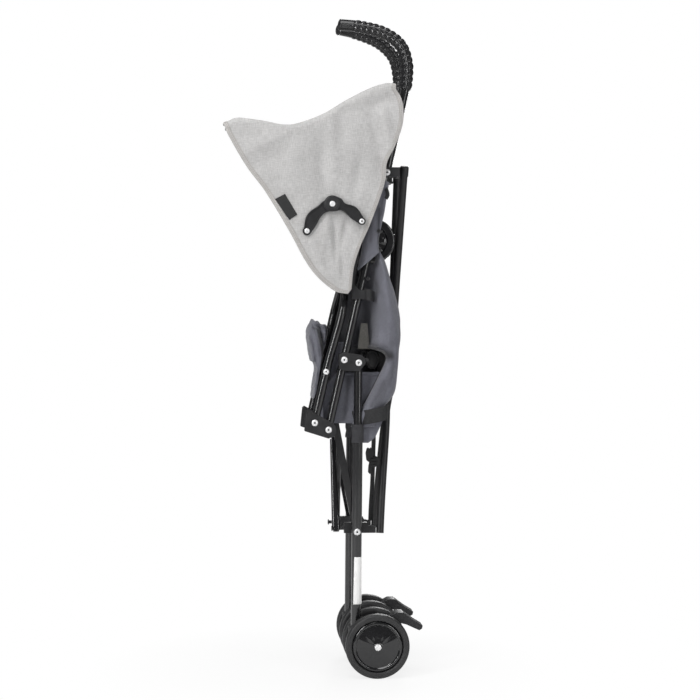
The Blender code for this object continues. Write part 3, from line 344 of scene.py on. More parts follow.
def buildStitchGroup():
    # a row of stitches along V at a place across U: 1 on the thread, and a groove round it
    group, given, out = newGroup("stitchRow", [("UV", "NodeSocketVector", None), ("Across", "NodeSocketFloat", 0.003),
                                               ("Length", "NodeSocketFloat", 0.0036), ("Width", "NodeSocketFloat", 0.0006)],
                                 [("Thread", "NodeSocketFloat"), ("Groove", "NodeSocketFloat")])
    parts = addNode(group, "ShaderNodeSeparateXYZ", {0: given.outputs[0]})
    away = calc(group, "ABSOLUTE", calc(group, "SUBTRACT", parts.outputs[0], given.outputs[1]))
    line = calc(group, "SUBTRACT", 1, calc(group, "DIVIDE", away, given.outputs[3]), clamp=True)
    dash = calc(group, "GREATER_THAN", calc(group, "SINE", calc(group, "DIVIDE", calc(group, "MULTIPLY", parts.outputs[1], 2 * math.pi),
                                                               given.outputs[2])), -0.5)
    group.links.new(calc(group, "MULTIPLY", line, dash), out.inputs[0])
    group.links.new(calc(group, "SUBTRACT", 1, calc(group, "DIVIDE", away, calc(group, "MULTIPLY", given.outputs[3], 3)), clamp=True),
                    out.inputs[1])
    return group


grainGroup = buildGrainGroup()
weaveGroup = buildWeaveGroup()
stitchGroup = buildStitchGroup()


def newMaterial(name, roughness, metallic=0, **sockets):
    # a material with its main shader's plain values
    mat = bpy.data.materials.new(name)
    mat.use_nodes = True
    tree = mat.node_tree
    shader = tree.nodes["Principled BSDF"]
    shader.inputs["Metallic"].default_value = metallic
    shader.inputs["Roughness"].default_value = roughness
    for key, value in sockets.items():
        shader.inputs[key.replace("_", " ")].default_value = value
    return mat, tree, shader


def plasticMaterial(name, color, light, roughness, spread, grain, bump, metallic=0, **sockets):
    # moulded plastic, rubber or paint: slow changes of tone and gloss, and a fine surface
    tree, shader = newMaterial(name, roughness, metallic, **sockets)[1:]
    coords = addNode(tree, "ShaderNodeTexCoord").outputs["Object"]
    surface = addNode(tree, "ShaderNodeGroup", {0: coords, 1: grain}, node_tree=grainGroup).outputs
    tree.links.new(mixColor(tree, rescale(tree, surface[1], 0.35, 0.7), (*color, 1), (*light, 1)), shader.inputs["Base Color"])
    tree.links.new(rescale(tree, surface[1], 0.3, 0.7, roughness - spread, roughness + spread), shader.inputs["Roughness"])
    height = addNode(tree, "ShaderNodeBump", {"Strength": bump, "Distance": 0.0004, "Height": surface[0]})
    tree.links.new(height.outputs[0], shader.inputs["Normal"])


def clothMaterial(name, color, fleckColor, seam, pitch, bump, roughness, fleckLength, stitches=(), **sockets):
    # woven cloth: threads of two tones, flecks along them, and sewn rows where given; painted shade in the weave's low
    # places and where the mesh gives a darkness for each point
    tree, shader = newMaterial(name, roughness, **sockets)[1:]
    coords = addNode(tree, "ShaderNodeTexCoord").outputs["UV"]
    weave = addNode(tree, "ShaderNodeGroup", {0: coords, 1: pitch, 2: fleckLength}, node_tree=weaveGroup).outputs
    base = mixColor(tree, rescale(tree, weave[2], 0.38, 0.62), (*color, 1), (*fleckColor, 1))
    # painted shade and light on the threads: the weave's low places darker, its high places a little lighter
    paintedShade, slow = rescale(tree, weave[0], 0, 1, 0.80, 1.05), rescale(tree, weave[3], 0.3, 0.7, 0.95, 1.05)
    tint = addNode(tree, "ShaderNodeCombineColor", {k: calc(tree, "MULTIPLY", paintedShade, slow) for k in (0, 1, 2)}).outputs[0]
    base = mixColor(tree, 1, base, tint, "MULTIPLY")
    # painted shade: where a mesh gives a darkness for each point, the cloth's colour is drawn towards near-black, for
    # creases, folds and hollows
    paintedShadeAmount = addNode(tree, "ShaderNodeAttribute", attribute_name="paintedShade").outputs["Fac"]
    base = mixColor(tree, paintedShadeAmount, base, (0.010, 0.010, 0.012, 1))
    height = weave[0]
    for across in stitches:
        thread, groove = addNode(tree, "ShaderNodeGroup", {0: coords, 1: across}, node_tree=stitchGroup).outputs
        base = mixColor(tree, calc(tree, "MULTIPLY", thread, 0.8), base, (*seam, 1))
        height = calc(tree, "ADD", calc(tree, "SUBTRACT", height, calc(tree, "MULTIPLY", groove, 1.2)), calc(tree, "MULTIPLY", thread, 1.6))
    tree.links.new(base, shader.inputs["Base Color"])
    relief = addNode(tree, "ShaderNodeBump", {"Strength": bump, "Distance": 0.0005, "Height": height})
    tree.links.new(relief.outputs[0], shader.inputs["Normal"])


plasticValues = {
    "blackPaint": dict(color=(0.007, 0.007, 0.008), light=(0.012, 0.012, 0.013), roughness=0.2, spread=0.04, grain=1500, bump=0.02,
                       Coat_Weight=0.7, Coat_Roughness=0.05),
    "bracketPlastic": dict(color=(0.013, 0.013, 0.014), light=(0.020, 0.020, 0.022), roughness=0.45, spread=0.06, grain=1800, bump=0.25),
    "gripRubber": dict(color=(0.010, 0.010, 0.011), light=(0.018, 0.018, 0.019), roughness=0.17, spread=0.04, grain=1400, bump=0.06),
    "tyreRubber": dict(color=(0.020, 0.020, 0.021), light=(0.032, 0.032, 0.033), roughness=0.52, spread=0.06, grain=1600, bump=0.25),
    "hubGloss": dict(color=(0.006, 0.006, 0.007), light=(0.011, 0.011, 0.012), roughness=0.12, spread=0.03, grain=900, bump=0.03,
                     Coat_Weight=0.6, Coat_Roughness=0.05),
    "rivetSteel": dict(color=(0.86, 0.86, 0.87), light=(0.93, 0.93, 0.93), roughness=0.28, spread=0.06, grain=1200, bump=0.05,
                       metallic=0.35),
    "buckleBlack": dict(color=(0.012, 0.012, 0.013), light=(0.020, 0.020, 0.022), roughness=0.33, spread=0.05, grain=1200, bump=0.1),
    "barPaint": dict(color=(0.010, 0.010, 0.011), light=(0.017, 0.017, 0.018), roughness=0.42, spread=0.05, grain=1500, bump=0.06),
    "stickerPaper": dict(color=(0.86, 0.86, 0.85), light=(0.90, 0.90, 0.89), roughness=0.45, spread=0.04, grain=700, bump=0.03),
}
for materialName, values in plasticValues.items():
    plasticMaterial(materialName, **values)
clothValues = {
    "canopyCloth": dict(color=(0.44, 0.434, 0.43), fleckColor=(0.60, 0.593, 0.588), seam=(0.5, 0.48, 0.45), pitch=0.0009, bump=0.5,
                        roughness=0.88, fleckLength=0.011, Sheen_Weight=0.15, Sheen_Roughness=0.5),
    "canopyBinding": dict(color=(0.43, 0.415, 0.405), fleckColor=(0.54, 0.525, 0.51), seam=(0.24, 0.22, 0.205), pitch=0.0009, bump=0.5,
                          roughness=0.85, fleckLength=0.005, stitches=(0.0021, 0.0050, 0.0125, 0.0154)),
    "seatCloth": dict(color=(0.118, 0.120, 0.146), fleckColor=(0.161, 0.163, 0.192), seam=(0.25, 0.25, 0.28), pitch=0.0007, bump=0.4,
                      roughness=0.78, fleckLength=0.006, Sheen_Weight=0.3, Sheen_Roughness=0.45),
    # near-black cloth: the sleeves' own colour, and painted shade for the sheets inside the seat
    "darkClothAndShade": dict(color=(0.030, 0.030, 0.034), fleckColor=(0.045, 0.045, 0.050), seam=(0.05, 0.05, 0.05), pitch=0.0008, bump=0.4,
                        roughness=0.85, fleckLength=0.006),
    "patchCloth": dict(color=(0.055, 0.053, 0.048), fleckColor=(0.095, 0.091, 0.083), seam=(0.2, 0.2, 0.2), pitch=0.0008, bump=0.5,
                       roughness=0.8, fleckLength=0.004),
    "webbingBlack": dict(color=(0.014, 0.014, 0.015), fleckColor=(0.030, 0.030, 0.032), seam=(0.06, 0.06, 0.06), pitch=0.0016, bump=0.8,
                         roughness=0.7, fleckLength=0.004, stitches=(0.0025,)),
    "labelBlack": dict(color=(0.010, 0.010, 0.011), fleckColor=(0.018, 0.018, 0.019), seam=(0.05, 0.05, 0.05), pitch=0.0006, bump=0.4,
                       roughness=0.6, fleckLength=0.004),
}
for materialName, values in clothValues.items():
    clothMaterial(materialName, **values)
print("materials ready")

# The frame's lines in the side view
kneeHandle, kneeLeg = np.array([-82.6, 428]), np.array([-106.6, 440.2])
hingeHandle, hingeRear = np.array([-55.3, 549.4]), np.array([-30.1, 544.4])
foot, leanTop = np.array([-32.8, 249.9]), np.array([19, 874.8])
upHandle = (leanTop - kneeHandle) / np.linalg.norm(leanTop - kneeHandle)
backOf = np.array([upHandle[1], -upHandle[0]])


def legPoint(along, across=0):
    # place along the folded front leg from its knee rivet, and behind its middle line
    return kneeLeg + np.multiply.outer(np.asarray(along, float), upHandle) + np.multiply.outer(np.asarray(across, float), backOf)


def handleX(z):
    # X of the straight handle tube's middle line at a height
    return kneeHandle[0] + (np.asarray(z, float) - kneeHandle[1]) * upHandle[0] / upHandle[1]


def rearLegX(z):
    # X of the rear leg's middle line at a height
    return hingeRear[0] + (hingeRear[1] - np.asarray(z, float)) * (foot[0] - hingeRear[0]) / (hingeRear[1] - foot[1])


def atY(points, y):
    # side-view points (x, z) placed at a distance y from the middle plane
    points = np.asarray(points, float)
    return np.stack([points[:, 0], np.broadcast_to(np.asarray(y, float), len(points)), points[:, 1]], 1)


# Tubes and grips
tubes = {"y": 70, "handleR": 7.3, "wall": 1.2, "legTopR": 7.4, "legR": 8.9, "sleeveZ": 420, "legFootZ": 76, "endPast": 7.5, "gripZ": 1020,
         "gripCurve": [(54.6, 0.5, 1040), (54.8, 2.5, 1066.3), (44.9, 9, 1097.9), (17.5, 21, 1121.2), (-22.9, 36.5, 1134.5),
                       (-60.3, 50, 1140.3)]}
frontLeg = {"length": 276, "in": 36, "inFrom": 192, "inTo": 264, "bendAt": 195, "bendWide": 62, "bend": {"left": 4.5, "right": 0}}
crossBar = {"r": 6.8, "top": (51, 54, 868), "run": (-34, -101.5, -622), "lowIn": 7, "bow": 7, "crossing": 0.532, "bowWide": 0.1,
            "capR": 7.9, "capFrom": -9.5, "capTo": 8.5}
grip = {"base": 9.5, "rib": 1.9, "pitch": 10.7, "nubs": 10, "nubDepth": 0.85, "smoothEnd": 29, "endR": 10.1, "first": 3, "endRound": 2.6,
        "lip": 0.7}


def gripRadius(run, angle):
    # ribs: a wave along the grip, cut into nubs round it; then a plain end with a rounded rim and a fine lip
    total = run[-1]
    ribbed = ease(run, grip["first"] - 2, grip["first"]) * (1 - ease(run, total - grip["smoothEnd"] - 1, total - grip["smoothEnd"] + 1))
    wave = np.abs(np.sin(math.pi * (run - grip["first"]) / grip["pitch"])) ** 0.7
    nub = 1 - grip["nubDepth"] * (0.5 - 0.5 * np.cos(grip["nubs"] * angle)) ** 0.9
    radius = grip["base"] + ribbed * (grip["rib"] * wave * nub) + (1 - ribbed) * (grip["endR"] - grip["base"])
    lip = ease(run, total - 5, total - 3.5) - ease(run, total - 3.4, total - 2.6)
    return radius - grip["endRound"] * ease(run, total - 2.2, total) ** 2 - 0.9 * (1 - ease(run, 0, 1.6)) + grip["lip"] * lip


def crossBarLine(side):
    # straight from the top bracket to the other side's foot bracket, drawn in low down, and bowed where it passes the other bar
    t = np.linspace(-12 / 622, 1.003, 50)[:, None]
    bow = crossBar["bow"] * np.exp(-((t - crossBar["crossing"]) / crossBar["bowWide"]) ** 2) * -side
    line = np.array(crossBar["top"]) + t * np.array(crossBar["run"])
    line[:, :1] += bow - crossBar["lowIn"] * ease(t, 0.45, 1)
    return line * [1, side, 1]


for sideName, side in sides.items():
    y = side * tubes["y"]
    start = (float(handleX(tubes["gripZ"])), 0, tubes["gripZ"])
    crook = smoothPath([start] + tubes["gripCurve"], 40) * [1, -side, 1] + [0, y, 0]
    bottom = kneeHandle - upHandle * tubes["endPast"]
    straight = atY(spaced([bottom, crook[0, [0, 2]]], 30)[:-1], y)
    tube = hollow(np.vstack([straight, crook[::4][:-2]]), tubes["handleR"], tubes["wall"])
    sidePiece(sideName, "HandleTube", tube, "blackPaint", "frame", "handle_tube", True, slot="handle_paint")

    path = spaced(crook, 420)
    run = np.r_[0, np.cumsum(np.linalg.norm(np.diff(path, axis=0), axis=1))][:, None]
    angle = np.linspace(0, 2 * math.pi, 72, endpoint=False)[None, :]
    radius = gripRadius(run, angle)
    section = np.stack([radius * np.cos(angle), radius * np.sin(angle)], 2)
    sidePiece(sideName, "Grip", capped(sweep(path, section)), "gripRubber", "frame", "handle_grip", slot="grip_foam")

    z = np.r_[hingeRear[1] + tubes["endPast"], np.linspace(500, tubes["sleeveZ"] + 2, 10),
              np.linspace(tubes["sleeveZ"] - 2, tubes["legFootZ"], 24)]
    radii = tubes["legTopR"] + (tubes["legR"] - tubes["legTopR"]) * (z < tubes["sleeveZ"])
    tube = hollow(atY(np.stack([rearLegX(z), z], 1), y), radii, tubes["wall"])
    sidePiece(sideName, "RearLegTube", tube, "blackPaint", "rear_leg", "rear_leg", True, slot="leg_paint")

    along = np.r_[-tubes["endPast"], np.linspace(90, 266, 60), frontLeg["length"]]
    bent = side * (tubes["y"] - frontLeg["in"] * ease(along, frontLeg["inFrom"], frontLeg["inTo"]))
    bulge = frontLeg["bend"][sideName] * np.exp(-((along - frontLeg["bendAt"]) / frontLeg["bendWide"]) ** 2)
    line = atY(kneeLeg + np.outer(along, upHandle) + np.outer(bulge, backOf), bent)
    tube = hollow(line, tubes["handleR"], tubes["wall"])
    sidePiece(sideName, "FrontLegTube", tube, "blackPaint", "front_leg", "front_leg", True, slot="leg_paint")

    bar = crossBarLine(side)
    tube = hollow(bar, crossBar["r"], tubes["wall"], up=(1, 0, 0))
    sidePiece(sideName, "CrossBarTube", tube, "barPaint", "cross_bar", "cross_bar", True, slot="bar_paint")
    capAt = np.linspace(crossBar["capFrom"], crossBar["capTo"], 14)
    end = bar[0] + unitRows(bar[0] - bar[4]) * capAt[:, None]
    cap = crossBar["capR"] - 2.4 * ease(capAt, 5, 8.5) ** 2
    sidePiece(sideName, "BarCap", capped(sweep(end, circle(cap, 32), up=(1, 0, 0))), "bracketPlastic", "cross_bar")
print("tubes and grips ready")

# Wheels: profiles of (radius, place along Y from the wheel's middle), outer face first
rearWheel = {"z": 55.6, "y": 70, "offset": 35, "count": 96, "rib": 0.22, "ribs": 16,
             "tyre": [(44.2, 6.5), (44.6, 8.4), (46, 9.9), (48.5, 10.8), (51, 10.9), (53, 10.2), (54.6, 8.6), (55.4, 6.2), (55.6, 3)],
             "seat": [(43.9, -4), (43.9, 4)],
             "hub": [(4.1, 12), (6.2, 12), (7, 11.2), (9.5, 10.6), (16, 10.2), (24, 9.2), (31, 7.6), (35.4, 6.8), (36.4, 6.6), (37.2, 7.2),
                     (38.2, 8.5), (39.4, 9.1), (40.6, 9), (42, 8.2), (43.1, 7.4), (43.7, 6.6)]}
frontWheel = {"y": 34, "offset": 18, "axle": legPoint(332, 30), "spokes": 6, "spoke": 1.8,
              "rim": [(4.1, 6), (8.5, 6), (10, 4.6), (22, 3.6), (24.5, 4), (26.5, 5.6), (29, 6), (36, 6), (38.3, 5), (39.3, 3.2),
                      (39.5, 1)]}


def bothFaces(profile):
    # a wheel's outer face, then the same points mirrored to its inner face
    return profile + [(r, -w) for r, w in profile[::-1]]


tyreProfile = bothFaces(rearWheel["tyre"]) + rearWheel["seat"]
tyreProfile = smoothPath(tyreProfile + tyreProfile[:1], 4)[:-1]
hubProfile = np.array(bothFaces(rearWheel["hub"]))
frontProfile = smoothPath(bothFaces(frontWheel["rim"]), 3)
around = np.linspace(0, 2 * math.pi, rearWheel["count"], endpoint=False)[None, :]
# ribs on the rear hubs and spokes on the front wheels: a wave round the wheel, between two radii
hubRib = rearWheel["rib"] * np.maximum(np.cos(rearWheel["ribs"] * around), 0) ** 2
hubRib = hubRib * (ease(hubProfile[:, :1], 9, 14) - ease(hubProfile[:, :1], 31, 36))
frontSpoke = frontWheel["spoke"] * ease(np.cos(frontWheel["spokes"] * around), -0.2, 0.5)
frontSpoke = frontSpoke * (ease(frontProfile[:, :1], 9, 12) - ease(frontProfile[:, :1], 22, 25))
for sideName, side in sides.items():
    for place, sign in (("outer", 1), ("inner", -1)):
        out = side * sign
        rearY, frontY = (side * w["y"] + out * w["offset"] for w in (rearWheel, frontWheel))
        tyre = turned(tyreProfile, (0, rearWheel["z"]), rearY, out, rearWheel["count"])
        tyre[..., 2] = np.maximum(tyre[..., 2], 0)
        sidePiece(sideName, f"RearTyre{place.title()}", tyre, "tyreRubber", f"rear_wheel_{place}", f"rear_tyre_{place}", True,
                  slot="tyre_rubber")
        hub = turned(hubProfile, (0, rearWheel["z"]), rearY, out, rearWheel["count"])
        hub[..., 1] += out * hubRib * np.sign(hubProfile[:, 1:])
        sidePiece(sideName, f"RearHub{place.title()}", hub, "hubGloss", f"rear_wheel_{place}", f"rear_hub_{place}", True,
                  slot="hub_plastic")
        wheel = turned(frontProfile, frontWheel["axle"], frontY, out, rearWheel["count"])
        wheel[..., 1] += out * frontSpoke * np.sign(frontProfile[:, 1:])
        sidePiece(sideName, f"FrontWheel{place.title()}", wheel, "hubGloss", f"front_wheel_{place}", f"front_wheel_{place}", True,
                  slot="tyre_rubber")
print("wheels ready")

# Brackets, links and levers keep the frame's shape, with softened edges
def topBlock(x, y, z):
    # the top bracket ends higher than the frame's
    return x, y, np.maximum(z, 867.2)


def carrierBlock(x, y, z):
    # the wheel carrier's socket ends lower, behind the wheels, and slopes down in front
    return x, y, np.minimum(z, 99 + 0.95 * np.minimum(x + 30, 0))


def leverBlock(x, y, z):
    # the brake lever's hump is flatter, and deeper below
    return x, y, np.where(z > 99, 99 + 0.8 * (z - 99), z - 2.5 * np.exp(-((x - 43) / 9) ** 2))


def footBlock(x, y, z):
    # the block of the foot bracket: lower, shorter in front, and its arm ends at the crossing bar
    block = (x > -58) & (x < 9.5) & ((x < -45) | (np.abs(y) < 53))
    return np.where(block, np.clip(x, -53.5, 2.4), x), y, np.where(block, np.clip(z, 244.8, 263.4), z)


# each bracket's body, the width of its rounded edges, and the change to its shape
brackets = {"hinge_bracket": ("frame", 0.9, None), "knee_bracket": ("knee", 1.1, None),
            "rear_wheel_carrier": ("rear_leg", 1.4, carrierBlock), "brake_lever": ("brake_lever", 2.2, leverBlock),
            "front_swivel_housing": ("front_leg", 1.2, None), "front_fork": ("caster", 1.2, None),
            "top_bracket": ("top_bracket", 0.9, topBlock), "foot_bracket": ("foot_bracket", 1, footBlock),
            "canopy_mount": ("frame", 0.7, None), "side_link": ("side_link", 0.8, None)}
for sideName, side in sides.items():
    for node, (body, width, shape) in brackets.items():
        material, slot = ("blackPaint", "bar_paint") if node == "side_link" else ("bracketPlastic", "bracket_plastic")
        roundedCopy(f"{sideName}_{node}", sideName + node.title().replace("_", ""), material, f"{sideName}_{body}", width, slot, shape)
    for node in ("rear_axle", "front_axle"):
        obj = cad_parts[f"{sideName}_{node}"]
        obj.data.materials.clear()
        obj.data.materials.append(bpy.data.materials["rivetSteel"])

# Folding brace: two bars, one in front of the other, from the foot brackets up to the middle.
# Each side's numbers are (x, half depth) at the foot and at the top.
brace = {"y": 47.5, "z": 253, "length": 156.2, "half": 5.2, "tip": 0.65, "pastFoot": 6, "pastTop": 4.5,
         "left": [(-67.3, 7.5), (-69.6, 5.3)], "right": [(-59, 5), (-59, 5)]}
for sideName, side in sides.items():
    (footX, footDeep), (topX, topDeep) = brace[sideName]
    rise = math.sqrt(brace["length"] ** 2 - brace["y"] ** 2)
    ahead = np.array([0, -side * brace["y"], rise]) / brace["length"]
    low = np.array([footX, side * brace["y"], brace["z"]]) - brace["pastFoot"] * ahead
    high = np.array([topX, 0, brace["z"] + rise]) + brace["pastTop"] * ahead
    taper = np.r_[brace["tip"], np.ones(23)][:, None, None]
    section = roundedBox(np.linspace(footDeep, topDeep, 24), np.full(24, brace["half"]), 32, 2.7) * taper
    sidePiece(sideName, "BraceHalf", capped(sweep(spaced([low, high], 24), section, up=(1, 0, 0))), "blackPaint", "brace_half",
              "brace_half", slot="bar_paint")

# Rivet heads: a low dome with a flat rim, one for each end of a pin
rivetHead = {"count": 28,
             "dimpled": [(0, 0.1), (0.12, 0.12), (0.22, 0.3), (0.3, 0.8), (0.4, 0.95), (0.6, 0.9), (0.78, 0.72), (0.9, 0.46), (0.97, 0.2),
                         (1, 0), (0.97, -0.15)],
             "flat": [(0, 0.92), (0.3, 0.92), (0.45, 0.98), (0.62, 0.92), (0.8, 0.74), (0.92, 0.46), (0.97, 0.2), (1, 0), (0.97, -0.15)]}


def rivetHeads(name, heads, body, profile="dimpled"):
    # profile of (radius, height) turned about Y for each head: (x, y of its seat, z, radius, height, direction along Y)
    heads = np.asarray(heads, float)[:, None, None, :]
    p = np.asarray(rivetHead[profile])[None, :, None, :]
    a = np.linspace(0, 2 * math.pi, rivetHead["count"], endpoint=False)[None, None, :]
    x = heads[..., 0] + heads[..., 3] * p[..., 0] * np.cos(a)
    z = heads[..., 2] + heads[..., 3] * p[..., 0] * np.sin(a)
    y = np.broadcast_to(heads[..., 1] + heads[..., 5] * heads[..., 4] * p[..., 1], x.shape)
    return addPiece(name, makeMesh(name, list(np.stack([x, y, z], -1)), False, True), "rivetSteel", body, slot="axle_steel")


# distances from the middle plane of each rivet's seats, its radius and its height
rivets = {"cheek": (81.6, 58.4, 5.7, 2), "foot": (79.3, 5.9, 3), "link": (76.4, 5.2, 2.4), "linkAlong": 90.7,
          "elbow": (105.6, 5, 1.9), "rear": (104.4, 4.6, 1.7), "front": (101.4, 4.6, 1.7)}
hingeStop = {"at": (-15.5, 549), "profile": [(0, 79), (3, 79), (3.8, 78.2), (3.9, 66), (3.2, 62), (0, 62)]}


def oneEnd(at, side, kind):
    # a head on the outer side of a piece
    y, radius, high = rivets[kind]
    return (at[0], side * y, at[1], radius, high, side)


def bothEnds(at, side):
    # heads at the outer and the inner cheek of a bracket
    outer, inner, radius, high = rivets["cheek"]
    return [(at[0], side * outer, at[1], radius, high, side), (at[0], side * inner, at[1], radius, high, -side)]


for sideName, side in sides.items():
    for name, heads, body in (("HingeRivets", bothEnds(hingeHandle, side) + bothEnds(hingeRear, side), "frame"),
                              ("KneeRivets", bothEnds(kneeHandle, side) + bothEnds(kneeLeg, side), "knee"),
                              ("TopRivets", bothEnds(leanTop, side), "top_bracket"),
                              ("FootRivet", [oneEnd(foot, side, "foot")], "foot_bracket"),
                              ("LinkRivet", [oneEnd(legPoint(rivets["linkAlong"]), side, "link")], "front_leg")):
        rivetHeads(sideName + name, heads, f"{sideName}_{body}")
for sideName, side in sides.items():
    sidePiece(sideName, "HingeStop", turned(hingeStop["profile"], hingeStop["at"], 0, side, 32), "bracketPlastic", "frame")
print("brackets and rivets ready")

# Cloth


def smoothRows(control, perSpan):
    # rows of control points refined along each row: (rows, places, 3)
    rows, places, _ = control.shape
    return smoothPath(control.transpose(1, 0, 2).reshape(places, rows * 3), perSpan).reshape(-1, rows, 3).transpose(1, 0, 2)


def curve(pairs, at):
    # value of a curve given as (place, value), eased between its points
    pairs = np.asarray(sorted(pairs), float)
    fine = smoothPath(pairs, 6)
    return np.interp(at, fine[:, 0], fine[:, 1])


def creases(x, z, lines):
    # push along Y for folds: each is (x0, z0, x1, z1, width, depth), a soft ridge along a line with a shallow one on the other side
    total = np.zeros(np.broadcast(x, z).shape)
    for x0, z0, x1, z1, width, depth in lines:
        dx, dz = x1 - x0, z1 - z0
        t = np.clip(((x - x0) * dx + (z - z0) * dz) / (dx * dx + dz * dz), -0.25, 1.25)
        away = ((x - x0 - t * dx) * dz - (z - z0 - t * dz) * dx) / math.hypot(dx, dz)
        past = np.hypot(x - x0 - t * dx, z - z0 - t * dz)
        near = np.exp(-(past / width) ** 2)
        total = total + depth * near * (1 - 0.9 * (away / width)) * np.exp(-((t - 0.5) / 0.6) ** 2)
    return total


def paintedShadeLines(x, z, lines):
    # painted shade of deep folds, creases and hollows, soft round each line (x0, z0, x1, z1, width, darkness)
    total = np.zeros(np.shape(x))
    for x0, z0, x1, z1, width, dark in lines:
        t = np.clip(((x - x0) * (x1 - x0) + (z - z0) * (z1 - z0)) / ((x1 - x0) ** 2 + (z1 - z0) ** 2), 0, 1)
        total = np.maximum(total, dark * np.exp(-(np.hypot(x - x0 - t * (x1 - x0), z - z0 - t * (z1 - z0)) / width) ** 2))
    return total


def crumple(a, b, scale, seed=0):
    # gentle uneven surface: a few crossing sine waves whose phases bend each other
    a, b = a / scale, b / scale
    return (np.sin(1.3 * a + 0.7 * np.sin(0.9 * b + seed)) + np.sin(1.1 * b + 1.9 * a * 0.3 + seed * 1.7 + 0.8 * np.sin(0.7 * a))
            + 0.6 * np.sin(2.3 * (a * 0.8 - b * 0.5) + seed * 2.3)
            + 0.4 * np.sin(3.1 * (a * 0.3 + b * 0.9) + 1.1 * np.sin(1.7 * a) + seed)) / 3


def addSheet(name, grid, material, body, stands=(), thick=1.6, slot="seat_cloth", flat=None, paintedShade=None):
    # cloth: an open grid given its thickness, and the size that it was cut to, from its own measured length and width
    mesh = makeMesh(name, [grid], flat=flat, paintedShade=paintedShade)
    obj = addPiece(name, mesh, material, body, stands, solid=thick, slot=slot, smooth=60)
    return obj


def edging(edge, inward, outward, width, thick):
    # tape folded over an edge: its two faces and the rounded fold between them
    loop = np.array([(width, 0.45), (width - 0.6, 1), (width * 0.5, 1.12), (1, 1), (-0.3, 0.75), (-0.9, 0), (-0.3, -0.75), (1, -1),
                     (width * 0.5, -1.12), (width - 0.6, -1), (width, -0.45)])
    along, across = loop[:, 0][None, :, None], (loop[:, 1] * thick)[None, :, None]
    return edge[:, None] + inward[:, None] * along + outward[:, None] * across


# Hood: each half is a side panel from its tip up to the top edge, rolled over and sagging to the middle
hood = {"sideY": 96.4, "tipY": 93.2, "roll": 9, "sag": 55, "crown": 9, "rows": 110, "cols": 90, "tape": 7.4,
        "low": [(-50, 664), (-73, 669.5), (-103, 694), (-125, 724), (-151, 772), (-192, 840), (-226, 886), (-257, 939), (-263.7, 955)],
        "back": [(-44.5, 671), (-40.5, 709), (-29.2, 746), (-12, 785), (13, 856), (17, 892), (31, 922), (43.5, 958), (46, 987), (42, 1010),
                 (33, 1026)],
        "top": [(-263.7, 955), (-243, 965), (-222, 964), (-196, 960.5), (-149.5, 954), (-97, 971), (-60, 993), (-20, 1014.5), (14, 1027),
                (33, 1026)],
        # dark: lines of painted shade along the near panel's creases
        "dark": [(-75, 780, -73, 742, 3, 0.16), (-79, 795, -75, 775, 4, 0.10), (-62, 792, -52, 760, 3, 0.08),
                 (-92, 780, -100, 745, 3.5, 0.06), (-101, 900, -97, 850, 7, 0.05), (-64, 725, -62, 700, 3, 0.07), (4, 900, 12, 868, 4, 0.06)],
        "farIn": 15, "farTip": (7, 9), "pivot": (-44, 682), "split": (0.78, 0.63)}
# folds of the near panel: pinched under the stay's boss, fanning from its ends, and soft ones above
hoodFolds = [(-77.4, 792, -74, 738, 7, 4.6), (-60, 745, -48, 792, 7, 3.8), (-88, 790, -98, 735, 7, -1.6), (-102, 925, -98, 838, 16, 5),
             (-84, 930, -80, 850, 12, -3), (-68, 990, -63, 930, 13, 3.4), (-12, 965, 9, 862, 13, 4.4), (8, 985, 20, 925, 8, -3),
             (-219, 905, -150, 938, 14, -3.2), (-205, 880, -160, 905, 10, 1), (-115, 755, -94, 700, 9, -2.2), (-62, 735, -60, 690, 7, 2.6),
             (-30, 900, -45, 830, 12, 3), (-140, 930, -150, 870, 14, -2.4), (24, 1005, -25, 985, 12, 3), (-22, 800, -30, 760, 7, 2.4)]


def hoodPush(x, z):
    # distance out from the middle plane: drawn in at the tip, a slack bulge above, and folds pushed inward
    base = hood["tipY"] + (hood["sideY"] - hood["tipY"]) * ease(z, 668, 730)
    slack = 4 * ease(z, 860, 960) * np.exp(-((x + 100) / 90) ** 2)
    return base + slack - creases(x, z, hoodFolds) - 0.7 * crumple(x, z, 17, 1.3) * ease(z, 680, 760)


